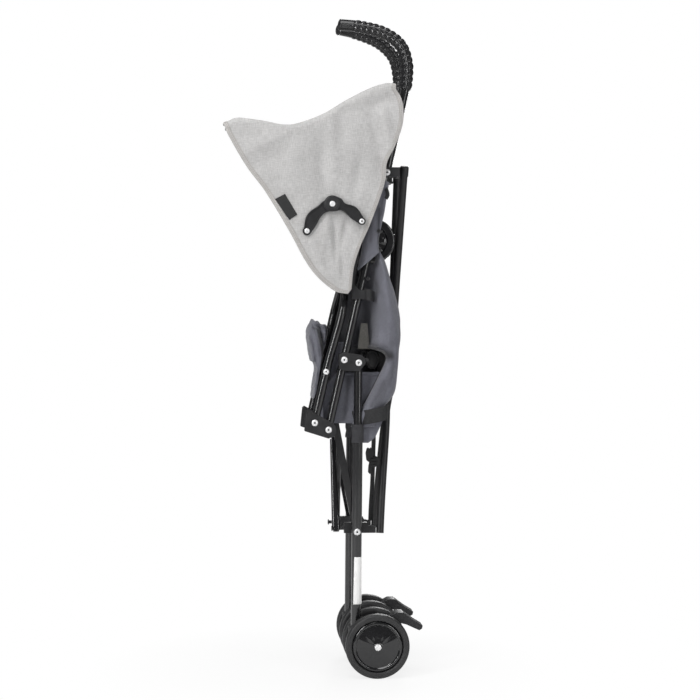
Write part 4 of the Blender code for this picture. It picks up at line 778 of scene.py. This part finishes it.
def hoodHalf(side, drop=0):
    # Coons patch between low edge, back edge and top edge; then a quarter circle over the top edge;
    # then a sag that grows from the bow backwards
    rows, cols = hood["rows"], hood["cols"]
    low, back = (spaced(smoothPath(hood[k], 8), rows) for k in ("low", "back"))
    top = spaced(smoothPath(hood["top"], 8), cols)
    u, v = np.linspace(0, 1, rows)[:, None, None], np.linspace(0, 1, cols)[None, :, None]
    if side > 0:
        lift = unitRows(np.gradient(low, axis=0))[:, ::-1] * [1, -1]
        tip = np.array(hood["farTip"]) * (1 - ease(u[:, 0], 0, 0.3))
        low = low + lift * hood["farIn"] * ease(u[:, 0], 0, 0.25) + tip
        back = back + tip
        top = top + (1 - v[0]) * (low[-1] - top[0])
    normal = unitRows(np.gradient(top, axis=0))[:, ::-1] * [-1, 1]
    base = top - normal * hood["roll"]
    low += u[:, 0] ** 3 * (base[0] - low[-1])
    back += u[:, 0] ** 3 * (base[-1] - back[-1])
    flat = (1 - v) * low[:, None] + v * back[:, None] + u ** 1.6 * (base - (1 - v[0]) * base[0] - v[0] * base[-1])[None]
    y = hoodPush(flat[..., 0], flat[..., 1])
    panel = np.stack([flat[..., 0], side * y, flat[..., 1]], 2)
    turn = np.linspace(0, math.pi / 2, 9)[1:, None, None]
    over = base[None] + normal[None] * hood["roll"] * np.sin(turn)
    yOver = y[-1][None] - hood["roll"] * (1 - np.cos(turn[..., 0]))
    t = np.linspace(0, 1, 40)[1:, None]
    sag = hood["sag"] * ease(v[..., 0], 0.04, 0.5) * (1 - (1 - t) ** 2.2)
    yTop = (y[-1] - hood["roll"])[None] * (1 - t)
    xTop = np.broadcast_to(top[None, :, 0], yTop.shape)
    crown = hood["crown"] * np.sin(0.5 * math.pi * t) * (1 - ease(v[..., 0], 0, 0.16))
    zTop = top[None, :, 1] - sag + crown + 1.2 * crumple(xTop, yTop, 16, 2.1) * np.sin(math.pi * np.clip(t, 0, 1))
    return np.concatenate([panel, np.stack([over[..., 0], side * yOver, over[..., 1]], 2), np.stack([xTop, side * yTop, zTop - drop], 2)])


# the cloth goes over from the frame to the bow along a line across the split
far, near = (np.array(hood["pivot"]) + np.array(hood["split"]) * away for away in (190, 5))
for sideName, side in sides.items():
    grid = hoodHalf(side)
    bodies = ("left_frame", "left_bow") if side < 0 else ("right_clip", "right_bow")
    body = (*bodies, (far[0], side * 90, far[1]), (near[0], side * 90, near[1]))
    inward = {"Hem": unitRows(grid[:, 6] - grid[:, 0]), "BackTape": unitRows(grid[:, -7] - grid[:, -1])}
    across = np.gradient(grid, axis=0)
    for name, column in (("Hem", 0), ("BackTape", -1)):
        ahead = unitRows(across[:, column])
        outward = np.cross(ahead, inward[name]) * (side if name == "Hem" else -side)
        edge = edging(grid[:, column], inward[name], outward, hood["tape"], 1.9)
        addRings(f"{sideName}Canopy{name}", capped(edge), "canopyBinding", body, slot="canopy_cloth")
    threads = np.stack([grid[..., 0], grid[..., 2] + (hood["tipY"] - np.abs(grid[..., 1])) * (np.abs(grid[..., 1]) < 90)], 2)
    # painted shade along the creases of the side panel, not of its rolled top
    addSheet(f"{sideName}CanopyPanel", grid, "canopyCloth", body, [f"canopy_{sideName}"], slot="canopy_cloth", flat=threads,
             paintedShade=paintedShadeLines(grid[..., 0], grid[..., 2], hood["dark"]) * (np.abs(grid[..., 1]) > 80))

strip = hoodHalf(-1, drop=2.4)[-22:]
middleStrip = np.concatenate([strip, strip[::-1][1:] * [1, -1, 1]])
half = hood["cols"] // 2
for name, columns, bodies in (("Front", slice(1, half + 5), ("left_bow", "right_bow")),
                              ("Rear", slice(half - 5, None), ("left_frame", "right_frame"))):
    part = middleStrip[:, columns]
    centre = part[len(part) // 2].mean(0)
    addSheet(f"canopyGusset{name}", part, "canopyCloth", (*bodies, (centre[0], -40, centre[2]), (centre[0], 40, centre[2])),
             ["canopy_top"], slot="canopy_cloth")

label = {"corners": [(-176, 825.7), (-159, 835), (-137.7, 799.6), (-151.4, 790.4)], "off": 1.6}
a, b, c, d = (np.array(p) for p in label["corners"])
u, v = np.linspace(0, 1, 24)[:, None, None], np.linspace(0, 1, 14)[None, :, None]
flat = (1 - u) * ((1 - v) * a + v * b) + u * ((1 - v) * d + v * c)
patch = np.stack([flat[..., 0], -hoodPush(flat[..., 0], flat[..., 1]) - label["off"], flat[..., 1]], 2)
addSheet("canopyLabel", patch, "labelBlack", ("left_frame", "left_bow", (far[0], -90, far[1]), (near[0], -90, near[1])),
         thick=0.9, slot="canopy_cloth")
print("hood ready")

# Hood bow and stays
bowRoute = [(-44, 88, 682), (-104, 92, 761), (-177, 91, 854), (-235, 82, 922), (-249, 66, 946), (-253, 40, 953), (-255, 30, 952),
            (-255.5, 0.4, 950)]
for sideName, side in sides.items():
    route = smoothPath(bowRoute, 8)
    if side > 0:
        route[:, [0, 2]] += np.array([0.8, 0.5]) * 11 * (ease(route[:, 1], 12, 62) * ease(route[:, 2], 682, 740))[:, None]
    route = route + np.array([4, 0, 1.5]) * (1 - ease(np.abs(route[:, 1:2]), 50, 80)) * ease(route[:, 2:], 915, 940)
    sidePiece(sideName, "CanopyBow", capped(sweep(route * [1, side, 1], circle(2.6, 20))), "bracketPlastic", "bow", "canopy_bow")

stay = {"rear": (-26.8, 788.3), "elbow": (-77.6, 817.9), "front": (-121.2, 771.3),
        "frontHalf": [(0, 13), (0.16, 11), (0.27, 8.8), (0.38, 8.6), (0.5, 10), (0.66, 11.4), (0.8, 10.8), (0.92, 8.8), (1, 7.4)],
        "rearHalf": [(0, 14.6), (0.16, 12.6), (0.28, 7.6), (0.38, 6.8), (0.5, 8.8), (0.66, 10.4), (0.8, 9.2), (0.92, 7.4), (1, 6.6)],
        "bow": {"front": -8.6, "rear": 6}, "faces": {"front": (99, 102), "rear": (102.3, 105)},
        "boss": [(0, 105.6), (6.5, 105.6), (7.5, 106), (8.6, 106.4), (11.8, 106.4), (12.8, 105.9), (13, 104.6)]}


def leafPlate(start, end, halves, bow, y0, y1, side, rim=2.6, recess=1.1):
    # flat arm along a bowed line: half widths along it, round ends, a raised rim and a recessed middle
    start, end = np.array(start), np.array(end)
    ahead = unitRows(end - start)
    left = np.array([-ahead[1], ahead[0]])
    t = np.linspace(0, 1, 60)
    w = curve(halves, t)
    body = start + np.outer(t, end - start) + np.outer(bow * np.sin(math.pi * t), left)
    a = np.linspace(math.pi / 2, -math.pi / 2, 22)[1:-1]
    arc = np.outer(np.cos(a), ahead) + np.outer(np.sin(a), left)
    ring = np.vstack([body + np.outer(w, left), end + w[-1] * arc, (body - np.outer(w, left))[::-1], start - w[0] * arc])
    along = np.clip((ring - start) @ ahead / np.linalg.norm(end - start), 0, 1)
    spine = start + np.outer(along, end - start) + np.outer(bow * np.sin(math.pi * along), left)
    toRing = ring - spine
    size = np.linalg.norm(toRing, axis=1, keepdims=True)
    levels = [(spine, y0), (ring, y0), (ring, y1 - 0.8)]
    for inset, y in ((0.35, y1 - 0.25), (1, y1), (rim, y1), (rim + 0.7, y1 - recess)):
        levels.append((spine + toRing * np.maximum(1 - inset / size, 0.12), y))
    levels.append((spine, y1 - recess))
    return np.stack([np.insert(p, 1, side * y, axis=1) for p, y in levels])


for sideName, side in sides.items():
    for part, faces in stay["faces"].items():
        arm = leafPlate(stay["elbow"], stay[part], stay[f"{part}Half"], stay["bow"][part], *faces, side)
        sidePiece(sideName, f"Stay{part.title()}", arm, "bracketPlastic", f"stay_{part}", f"stay_{part}_arm", smooth=28)
    sidePiece(sideName, "StayBoss", turned(stay["boss"], stay["elbow"], 0, side, 40), "bracketPlastic", "stay_rear", smooth=30)
    elbow, rear, front = (oneEnd(stay[kind], side, kind) for kind in ("elbow", "rear", "front"))
    rivetHeads(f"{sideName}StayRearRivets", [elbow, rear], f"{sideName}_stay_rear", "flat")
    rivetHeads(f"{sideName}StayFrontRivet", [front], f"{sideName}_stay_front", "flat")
print("stays ready")

# Seat: one gathered back sheet that bulges out behind each handle tube, wings round the tubes, pockets, and dark lining
# sheets inside it, near-black as painted shade
seat = {"rear": [(425, 2), (432, 4), (452, 10), (469, 17), (485, 29), (502, 35), (540, 39), (575, 41), (606, 41.5), (624, 41), (657, 35),
                 (692, 25), (719, 16.5), (738, 8)],
        "front": [(432, -42), (464, -24), (495, -6.6), (527, 9), (548, 18), (558, 17), (566, 4), (574, -36), (580, -50), (617, -42),
                  (669, -30), (717, -21), (738, -16)],
        "frontY": [(432, -58), (500, -60), (540, -68), (556, -70), (566, -62), (576, -50), (738, -46)],
        "turn": [(560, 32), (600, 32), (650, 21), (690, 10), (738, 3)],
        "outY": [(432, -70), (470, -78), (520, -85), (590, -89), (650, -88), (700, -83), (738, -80)],
        # dark: lines of painted shade in the bulge's creases and along the upper edge of its opening
        "dark": [(-2, 702, 4, 668, 5, 0.5), (-26, 580, 24, 556, 9, 0.9), (-8, 600, -2, 640, 8, 0.3), (12, 512, -8, 470, 3.5, 0.35),
                 (30, 545, 24, 505, 3, 0.25)],
        "middle": [(432, -8), (470, -4), (520, 3), (600, 8), (690, 4), (738, 0)]}
# folds of the bulge, along the cloth's back edge and down from the wing
seatFolds = [(-1, 700, 2, 655, 9, 7), (2, 715, 22, 655, 8, 3.6), (8, 690, 30, 600, 9, -3), (4, 640, 18, 560, 8, 4.2),
             (26, 600, 33, 510, 6, 3.6), (10, 520, -14, 462, 7, -3.2), (28, 530, 0, 450, 8, 3.6), (-2, 700, 2, 650, 6, -2.6)]


def seatSheet():
    # for each height a U round the back: in from the front edge, out round the bulge, round the back edge and in to the middle
    z = np.linspace(seat["middle"][0][0], 738, 120)
    front, back, yFront, yOut, middle = (curve(seat[k], z) for k in ("front", "rear", "frontY", "outY", "middle"))
    wide = back - front
    pairs = ((front, yFront), (front + 0.04 * wide, 0.5 * (yFront + yOut)), (front + 0.22 * wide, yOut + 1.5), (front + 0.5 * wide, yOut),
             (front + 0.8 * wide, yOut + 3), (back, yOut + 15), (back - 2, yOut + 30),
             (middle + 0.55 * (back - middle), np.full_like(z, -40)), (middle + 0.15 * (back - middle), np.full_like(z, -24)),
             (middle, np.zeros_like(z)))
    half = np.stack([np.stack(pair, 1) for pair in pairs], 1)
    # above the opening the cloth stays inside the handle tube, then comes out past it
    start = (handleX(z) + curve(seat["turn"], z))[:, None]
    spot = front[:, None] + wide[:, None] * np.array([[0, 0.2, 0.4, 0.62, 0.82]])
    out = yFront[:, None] + (yOut - yFront)[:, None] * ease((spot - start) / 27, 0, 1)
    deep = ease(z, 562, 578)[:, None, None]
    half[:, :5] = (1 - deep) * half[:, :5] + deep * np.stack([spot, out], 2)
    half = np.concatenate([half, (half * [1, -1])[:, -2::-1]], 1)
    grid = np.concatenate([half, np.broadcast_to(z[:, None, None], (*half.shape[:2], 1))], 2)[:, :, [0, 1, 2]]
    grid = smoothRows(grid, 9)
    x, y, zz = grid[..., 0], grid[..., 1], grid[..., 2]
    outer = ease(np.abs(y), 45, 66)
    y = y + np.sign(y) * outer * (1.1 * crumple(x, zz, 13, 0.4) - creases(x, zz, seatFolds))
    x = x + (1 - outer) * 1.5 * crumple(y, zz, 17, 1.4) + outer * crumple(zz, y, 12, 2.2)
    return np.stack([x, y, zz], 2)


# the seat stretches between the two frames
seatBody = ("left_frame", "right_frame", (0, -55, 600), (0, 55, 600))
grid = seatSheet()
for name, column, inside in (("left", 0, 4), ("right", -1, -5)):
    low = slice(8, 48)
    ahead = unitRows(np.gradient(grid[low, column], axis=0))
    inward = unitRows(grid[low, inside] - grid[low, column])
    tube = edging(grid[low, column], inward, np.cross(ahead, inward), 3.2, 1.6)
    addRings(f"{name}SeatPiping", capped(tube), "webbingBlack", seatBody, slot="seat_cloth")
gx, gz = grid[..., 0], grid[..., 2]
turnAt = handleX(gz) + curve(seat["turn"], gz)
# painted shade: the back sheet darkened in front of where it turns out past the handle tube, above the opening, with
# the lines of painted shade in its creases added
paintedShade = 0.72 * (1 - ease(gx, turnAt - 4, turnAt + 20)) * ease(gz, 552, 562)
addSheet("seatBack", grid, "seatCloth", seatBody, ["seat_back"],
         paintedShade=np.maximum(paintedShade, paintedShadeLines(gx, gz, seat["dark"])))

wing = {"rear": [(705, 5), (738, 4.5), (756, 6), (782, 11), (799, 14.4), (825, 18), (859, 23)], "top": 859, "low": 722, "slope": 0.86,
        "folds": [(-8, 835, 2, 770, 6, 2.2), (10, 815, 4, 750, 5, -1.8)],
        "snaps": {"WingSnap": (4.6, 773, 3.4), "TubeSnap": (-14, 690, 3.2)},
        # dark: lines of painted shade in the wing's folds
        "dark": [(6, 812, 3.4, 752, 1.7, 0.6), (-7, 805, -10, 755, 2.6, 0.3), (14, 846, 8, 800, 2, 0.4)],
        "tab": [(16, 80.5, 848), (19, 82.5, 842), (20, 82.5, 835), (17, 80, 829)]}
for sideName, side in sides.items():
    z = np.linspace(wing["low"], wing["top"], 50)
    back, tube = curve(wing["rear"], z), handleX(z)
    section = [(tube - 13, 66), (tube - 14.5, 74), (tube - 8, 80.5), (tube + 1, 81.5), (back - 3, 79.5), (back, 73), (back - 2, 67),
               (np.maximum(back - 8, tube + 1), 65)]
    control = np.stack([np.stack([x, np.full_like(z, side * y), z], 1) for x, y in section], 1)
    panel = smoothRows(control, 8)
    u = ((panel[..., 2] - wing["low"]) / (wing["top"] - wing["low"]))
    panel[..., 2] += (1 - u) ** 1.5 * (panel[..., 0] + 11.7) * wing["slope"]
    panel[..., 1] += side * (0.9 * crumple(panel[..., 0], panel[..., 2], 9, 0.9) - creases(panel[..., 0], panel[..., 2], wing["folds"]))
    upward = np.broadcast_to([0, 0, 1], panel[0].shape)
    hem = edging(panel[0], upward, unitRows(np.cross(np.gradient(panel[0], axis=0), upward)), 5.5, 1.25)
    tape = sidePiece(sideName, "WingHem", capped(hem), "seatCloth", "frame", slot="seat_cloth")
    addSheet(f"{sideName}SeatWing", panel, "seatCloth", f"{sideName}_frame", thick=1.4,
             paintedShade=paintedShadeLines(panel[..., 0], panel[..., 2], wing["dark"]))
    for tag, (x, z, r) in wing["snaps"].items():
        snap = turned([(0, 84.2), (r - 1.2, 84.2), (r - 0.3, 83.8), (r, 83), (r, 80)], (x, z), 0, side, 28)
        sidePiece(sideName, tag, snap, "buckleBlack", "frame", slot="buckle_plastic")
    tab = sweep(smoothPath(wing["tab"], 6) * [1, side, 1], roundedBox(3.2, 0.8, 20), up=(1, 0, 0))
    sidePiece(sideName, "WingTab", capped(tab), "webbingBlack", "frame", slot="seat_cloth")


def wall(left, right, y, wave, seed, rows=36, cols=36):
    # upright panel in the side view between two edges given as (height, x), with uneven folds along Y
    z = np.linspace(left[0][0], left[-1][0], rows)[:, None]
    t = np.linspace(0, 1, cols)[None]
    x = (1 - t) * curve(left, z) + t * curve(right, z)
    z = np.broadcast_to(z, x.shape)
    return np.stack([x, y + wave * crumple(x, z, 11, seed), z], 2)


panels = {
    # the pocket's dark lines: painted shade in its folds
    "Pocket": dict(dark=[(-46, 520, -54, 445, 4, 0.45), (-28, 520, -30, 440, 3, 0.3), (-6, 470, 12, 505, 4, 0.35)],
                   left=[(438, -90), (486, -91), (506, -84), (520, -74), (527, -66)], right=[(438, 6), (460, 13), (527, 13)], y=57, wave=2,
                   material="seatCloth"),
    # Hollow and Inside: near-black sheets inside the seat, painted shade seen through its opening and between the
    # tubes; the hollow's sheet also stands for a dark lining
    "Hollow": dict(left=[(505, -44), (606, -44)], right=[(505, 31), (575, 32), (606, 26)], y=24, wave=1.2, material="darkClothAndShade"),
    "Inside": dict(left=[(574, -62), (700, -34)], right=[(574, -50), (700, -24)], y=10, wave=2, material="darkClothAndShade"),
    "Under": dict(left=[(462, -94), (499, -86), (580, -62)], right=[(462, -79), (499, -72), (580, -49)], y=12, wave=2.4,
                  material="seatCloth"),
    "Patch": dict(left=[(568, -31), (613, -25)], right=[(568, -10), (613, -14)], y=66, wave=1.6, material="patchCloth")}
for sideName, side in sides.items():
    for number, (name, p) in enumerate(panels.items()):
        grid = wall(p["left"], p["right"], p["y"], p["wave"], number + side) * [1, side, 1]
        pieces = []
        if name == "Pocket":
            downward, outward = (np.broadcast_to(way, grid[-1].shape) for way in ([0, 0, -1], [0, side, 0]))
            hem = edging(grid[-1], downward, outward, 5, 1.5)
            pieces = [addRings(f"{sideName}PocketHem", capped(hem), "seatCloth", seatBody, slot="seat_cloth")]
        addSheet(f"{sideName}Seat{name}", grid, p["material"], seatBody, thick=1.2,
                 paintedShade=paintedShadeLines(grid[..., 0], grid[..., 2], p.get("dark", ())))

# Leg rest: folded up in front of the front legs, a slack crumpled roll
legRest = {"outline": [(-116.5, 603), (-112, 613), (-107.5, 621), (-104, 616), (-98, 617.5), (-93, 611.5), (-83.5, 610), (-80, 598),
                       (-85.5, 570), (-92, 540), (-98, 512), (-104, 484), (-108, 483), (-105.5, 510), (-102, 528), (-104, 543),
                       (-110.5, 548), (-112.5, 558), (-115, 572), (-117.5, 592)],
           "half": 50, "spine": ([484, 545, 618], [-103, -97, -97.5]), "spineEnds": (496, 606), "rings": 34,
           # dark: lines of painted shade in the leg rest's deep creases
           "dark": [(-99, 600, -90, 557, 3.8, 0.85), (-108, 606, -98, 600, 2, 0.6), (-113, 590, -104, 550, 1.6, 0.35)],
           "folds": [(-96, 603, -87, 558, 3.6, 9), (-114, 604, -101, 545, 3.2, 4), (-112, 612, -86, 600, 2.6, 4.2),
                     (-104, 606, -90, 560, 2.8, -3.6), (-116, 580, -100, 535, 2.8, 3.2), (-96, 596, -88, 552, 2.6, 3.6),
                     (-108, 545, -98, 520, 2.6, 2.6), (-111, 618, -104, 598, 2.2, 3)]}
ring = smoothPath(legRest["outline"] + legRest["outline"][:1], 7)[:-1]
spineAt = np.stack([np.interp(ring[:, 1], *legRest["spine"]), np.clip(ring[:, 1], *legRest["spineEnds"])], 1)
r = np.sin(np.linspace(0, math.pi / 2, legRest["rings"]))[:, None]
r = np.vstack([r, r[-2::-1]])
near = np.where(np.arange(len(r)) < legRest["rings"], -1, 1)[:, None]
flat = spineAt + (ring - spineAt) * r[..., None]
deep = legRest["half"] * (1 - r ** 7) ** 0.5
fold = creases(flat[..., 0], flat[..., 1], legRest["folds"]) + 1.2 * crumple(flat[..., 0], flat[..., 1], 5, 0.7)
grid = np.stack([flat[..., 0] + 0.9 * crumple(flat[..., 1], near * deep, 4.2, 2.9) * r, near * (deep - fold * (1 - r ** 7)),
                 flat[..., 1] + 0.8 * crumple(flat[..., 0], near * deep, 5, 1.1) * r], 2)
# painted shade in the leg rest's deep creases
paintedShade = paintedShadeLines(flat[..., 0], flat[..., 1], legRest["dark"])
obj = addPiece("legRest", makeMesh("legRest", [grid], False, True, paintedShade=paintedShade), "seatCloth", seatBody, ["seat_base"], slot="seat_cloth")
seatBase = {"line": [(-9.7, 440), (-40, 452), (-66, 470), (-84, 492)], "half": 50, "wave": 2.5}
x, z = spaced(smoothPath(seatBase["line"], 8), 30).T[..., None]
y = np.linspace(-seatBase["half"], seatBase["half"], 60)[None]
grid = np.stack(np.broadcast_arrays(x, y, z + seatBase["wave"] * crumple(y, x, 13, 0.2)), 2)
addSheet("seatBase", grid, "seatCloth", seatBody)


# webbing: each strap's route, its width and the way that its width runs
straps = {"UpperStrap": dict(route=[(-26, 62, 667), (-21, 74, 665), (-16, 80, 663), (-10, 81, 661.5), (-5.5, 76, 660), (-2, 66, 659)],
                             width=19, up=(0, 0, 1)),
          "LowerStrap": dict(route=[(-40, 57, 447), (-27, 64, 448), (-18, 76, 449.5), (-4, 82, 452), (9, 81.5, 455), (19, 75, 457.5),
                                    (23, 62, 459)], width=25, up=(0.05, 0, 1)),
          "harnessStrap": dict(route=[(17, -37, 580), (17.5, -38.5, 560), (17, -40, 548), (16, -38, 530), (12, -36, 515)], width=18,
                               up=(1, 0, 0)),
          "hangingStrap": dict(route=[(-1, -30, 440), (0.5, -31, 412), (0, -31.5, 392), (-0.5, -32, 372), (-2, -31, 330), (-4.5, -31, 290),
                                      (-5.5, -31, 264)], width=7.6, up=(1, 0, 0))}
seatTail = {"left": [(404, -21), (414, -26), (448, -27)], "right": [(404, -12), (412, -2), (424, 5), (448, 15)],
            "y": 64, "wave": 2.8, "seed": 3.1}


def strap(name, kind, body, side=1):
    # a flat band with rounded edges along its route
    route, width, up = straps[kind].values()
    path = spaced(smoothPath(np.array(route) * [1, side, 1], 8), max(20, len(route) * 10))
    return addRings(name, capped(sweep(path, roundedBox(width / 2, 0.75, 20), up)), "webbingBlack", body, slot="seat_cloth")


for sideName, side in sides.items():
    for kind in ("UpperStrap", "LowerStrap"):
        strap(sideName + kind, kind, f"{sideName}_frame", side)
    tail = wall(*seatTail.values(), 30, 26) * [1, side, 1]
    addSheet(f"{sideName}SeatTail", tail, "seatCloth", f"{sideName}_frame", thick=1.2)

# Buckle of the harness with its adjuster, and the strap that hangs behind the seat
buckle = {"at": (-2.5, -35, 549), "half": (13.5, 19), "corner": 0.06,
          "levels": [(0, -6), (0.94, -6), (1, -5.2), (1, 3.6), (0.95, 5), (0.82, 5.8), (0.74, 5.6), (0.70, 4.6), (0.5, 5), (0.3, 5.4),
                     (0, 5.5)]}
a = np.linspace(0, 2 * math.pi, 64, endpoint=False)
r, h = (np.array(buckle["levels"])[:, k:k + 1] for k in (0, 1))
(x, y, z), (halfX, halfZ) = buckle["at"], buckle["half"]
shape = np.broadcast_arrays(x + r * halfX * np.cos(a) * (1 + buckle["corner"] * np.cos(4 * a)), y - h, z + r * halfZ * np.sin(a))
addRings("harnessBuckle", np.stack(shape, 2), "buckleBlack", "left_frame", ["harness_buckle"], slot="buckle_plastic")
# wire frames round the straps: (x, z, half width, half height)
adjuster = {"y": -38, "wire": 1.6, "frames": [(17, 548, 5.5, 15), (-18, 556, 4, 9)]}
for k, (x, z, w, h) in enumerate(adjuster["frames"]):
    ring = atY(roundedBox(w, h, 40)[0] + [x, z], adjuster["y"])
    loop = sweep(np.vstack([ring, ring[:1]]), circle(adjuster["wire"], 10))[:-1]
    addRings(f"adjuster{k}", loop, "buckleBlack", "left_frame", ring=True, slot="buckle_plastic")
for name in ("harnessStrap", "hangingStrap"):
    strap(name, name, "left_frame")
hanging = {"body": [(-12.5, 371), (-8.5, 368), (-3, 368), (-1, 373), (-0.5, 384), (-2.5, 392.5), (-5, 394), (-7, 391), (-9, 394),
                    (-12, 392), (-14, 384)],
           "ladder": [(-9, 361.5), (-4, 358), (5, 360), (8.5, 365), (8, 376), (4, 379), (-1, 377), (-7.5, 372)],
           "tongue": [(-10, 350), (-6, 346), (-3.5, 352), (-3, 364), (-9, 364)],
           "faces": {"body": (-36.5, -29), "ladder": (-37.5, -33.5), "tongue": (-35, -32.5)},
           "bars": (363, 368.5, 374), "bar": [(-5, -38, -1), (1.5, -38.4, 0), (7, -38, 0.6)]}
for name, (y0, y1) in hanging["faces"].items():
    mesh = makeMesh(name, [plate(hanging[name], y0, y1, 1.6)], False, True, caps=True)
    addPiece(f"hangingBuckle{name.title()}", mesh, "buckleBlack", "left_frame", bevel=0.7, slot="buckle_plastic")
for k, z in enumerate(hanging["bars"]):
    path = np.array(hanging["bar"]) + [0, 0, z]
    addRings(f"ladderBar{k}", capped(sweep(path, circle(1.1, 12))), "buckleBlack", "left_frame", slot="buckle_plastic")

# Sleeve and sticker on the rear legs
sleeve = {"top": 437, "low": 405, "r": 10.4, "thin": 0.93}
sticker = {"top": 206, "low": 123.5, "middle": 165, "r": 9.2, "from": -34, "to": 58, "tilt": 4, "around": 30, "loose": (0.3, 1.2, 6)}
for sideName, side in sides.items():
    z = np.linspace(sleeve["low"], sleeve["top"], 26)
    a = np.linspace(0, 2 * math.pi, 48, endpoint=False)[None]
    r = sleeve["r"] + 0.5 * np.sin(3 * a + z[:, None] / 5) + 0.4 * np.cos(z[:, None] / 2.6 + 2 * a) + 0.5 * ease(z[:, None], 430, 437)
    axis = np.stack([rearLegX(z), np.full(len(z), side * tubes["y"]), z], 1)[:, None]
    outer = axis + np.stack([r * np.cos(a), r * np.sin(a), 0 * r], 2)
    both = np.concatenate([outer, (axis + (outer - axis) * sleeve["thin"])[::-1]])
    obj = sidePiece(sideName, "LegSleeve", both, "darkClothAndShade", "rear_leg", ring=True, slot="seat_cloth")
z = np.linspace(sticker["low"], sticker["top"], 40)
a = np.radians(np.r_[np.linspace(sticker["from"], sticker["to"], sticker["around"]), np.full(sticker["loose"][2], sticker["to"])])
past = np.r_[np.zeros(sticker["around"]), np.linspace(*sticker["loose"])]
slant = (z[:, None] - sticker["middle"]) / (sticker["middle"] - sticker["low"] - 0.5) * sticker["tilt"]
x = rearLegX(z)[:, None] + sticker["r"] * np.sin(a + np.radians(slant * (np.arange(len(a)) < 12))) + past * math.cos(math.radians(18))
y = -tubes["y"] - sticker["r"] * np.cos(a)[None] + past * 0.1 + 0 * x
mesh = makeMesh("legSticker", [np.stack([x, y, np.broadcast_to(z[:, None], x.shape)], 2)])
addPiece("legSticker", mesh, "stickerPaper", "left_rear_leg", solid=0.25, slot="canopy_cloth")
print("seat and straps ready")

# Camera, floor and light
view = {"at": (-0.180, -2.905, 0.603), "target": (0.053, 0.0, 0.5655), "lens": 84.0}
camera = bpy.data.objects.new("camera", bpy.data.cameras.new("camera"))
bpy.context.collection.objects.link(camera)
camera.data.lens = view["lens"]
camera.data.sensor_width = 36.0
camera.location = view["at"]
camera.rotation_euler = (Vector(view["target"]) - Vector(view["at"])).to_track_quat("-Z", "Y").to_euler()
bpy.context.scene.camera = camera

floorMesh = bpy.data.meshes.new("floor")
floorMesh.from_pydata([(-8, -8, 0), (8, -8, 0), (8, 8, 0), (-8, 8, 0)], [], [(0, 1, 2, 3)])
floor = bpy.data.objects.new("floor", floorMesh)
bpy.context.collection.objects.link(floor)
mat, tree, shader = newMaterial("paleFloor", 0.7)
shader.inputs["Base Color"].default_value = (0.88, 0.88, 0.88, 1)
glow = addNode(tree, "ShaderNodeEmission", {0: (1, 1, 1, 1), 1: 1.0})
seen = addNode(tree, "ShaderNodeLightPath")
coords = addNode(tree, "ShaderNodeTexCoord").outputs["Object"]
place = addNode(tree, "ShaderNodeVectorMath", {0: coords}, operation="LENGTH").outputs["Value"]
plain = rescale(tree, place, 0.12, 0.42, 0.80, 1.0)
share = calc(tree, "MULTIPLY", seen.outputs["Is Camera Ray"], plain)
mix = addNode(tree, "ShaderNodeMixShader", {0: share, 1: shader.outputs[0], 2: glow.outputs[0]})
tree.links.new(mix.outputs[0], tree.nodes["Material Output"].inputs[0])
floorMesh.materials.append(mat)

world = bpy.data.worlds.new("studio")
bpy.context.scene.world = world
world.use_nodes = True
tree = world.node_tree
background = tree.nodes["Background"]
background.inputs[0].default_value = (1, 1, 1, 1)
paths = addNode(tree, "ShaderNodeLightPath")
seenWhite = calc(tree, "MAXIMUM", paths.outputs["Is Camera Ray"], paths.outputs["Is Transmission Ray"])
soft = rescale(tree, paths.outputs["Is Glossy Ray"], 0.0, 1.0, 0.34, 0.14)
tree.links.new(calc(tree, "MAXIMUM", seenWhite, soft), background.inputs[1])
lamps = {"key": ((-1.9, -2.0, 1.9), (0.3, 2.4), 46.0), "fill": ((2.0, -2.4, 1.4), (0.25, 2.4), 20.0),
         "over": ((-0.5, -1.0, 3.0), (1.6, 1.6), 30.0), "back": ((0.6, 2.6, 1.6), (0.4, 2.2), 26.0)}
for name, (at, size, power) in lamps.items():
    lamp = bpy.data.lights.new(name, "AREA")
    lamp.shape, lamp.energy = "RECTANGLE", power
    lamp.size, lamp.size_y = size
    obj = bpy.data.objects.new(name, lamp)
    bpy.context.collection.objects.link(obj)
    obj.location = at
    obj.rotation_euler = (Vector((0, 0, 0.6)) - Vector(at)).to_track_quat("-Z", "Y").to_euler()
bpy.context.scene.view_settings.view_transform = "Standard"

print("scene ready")
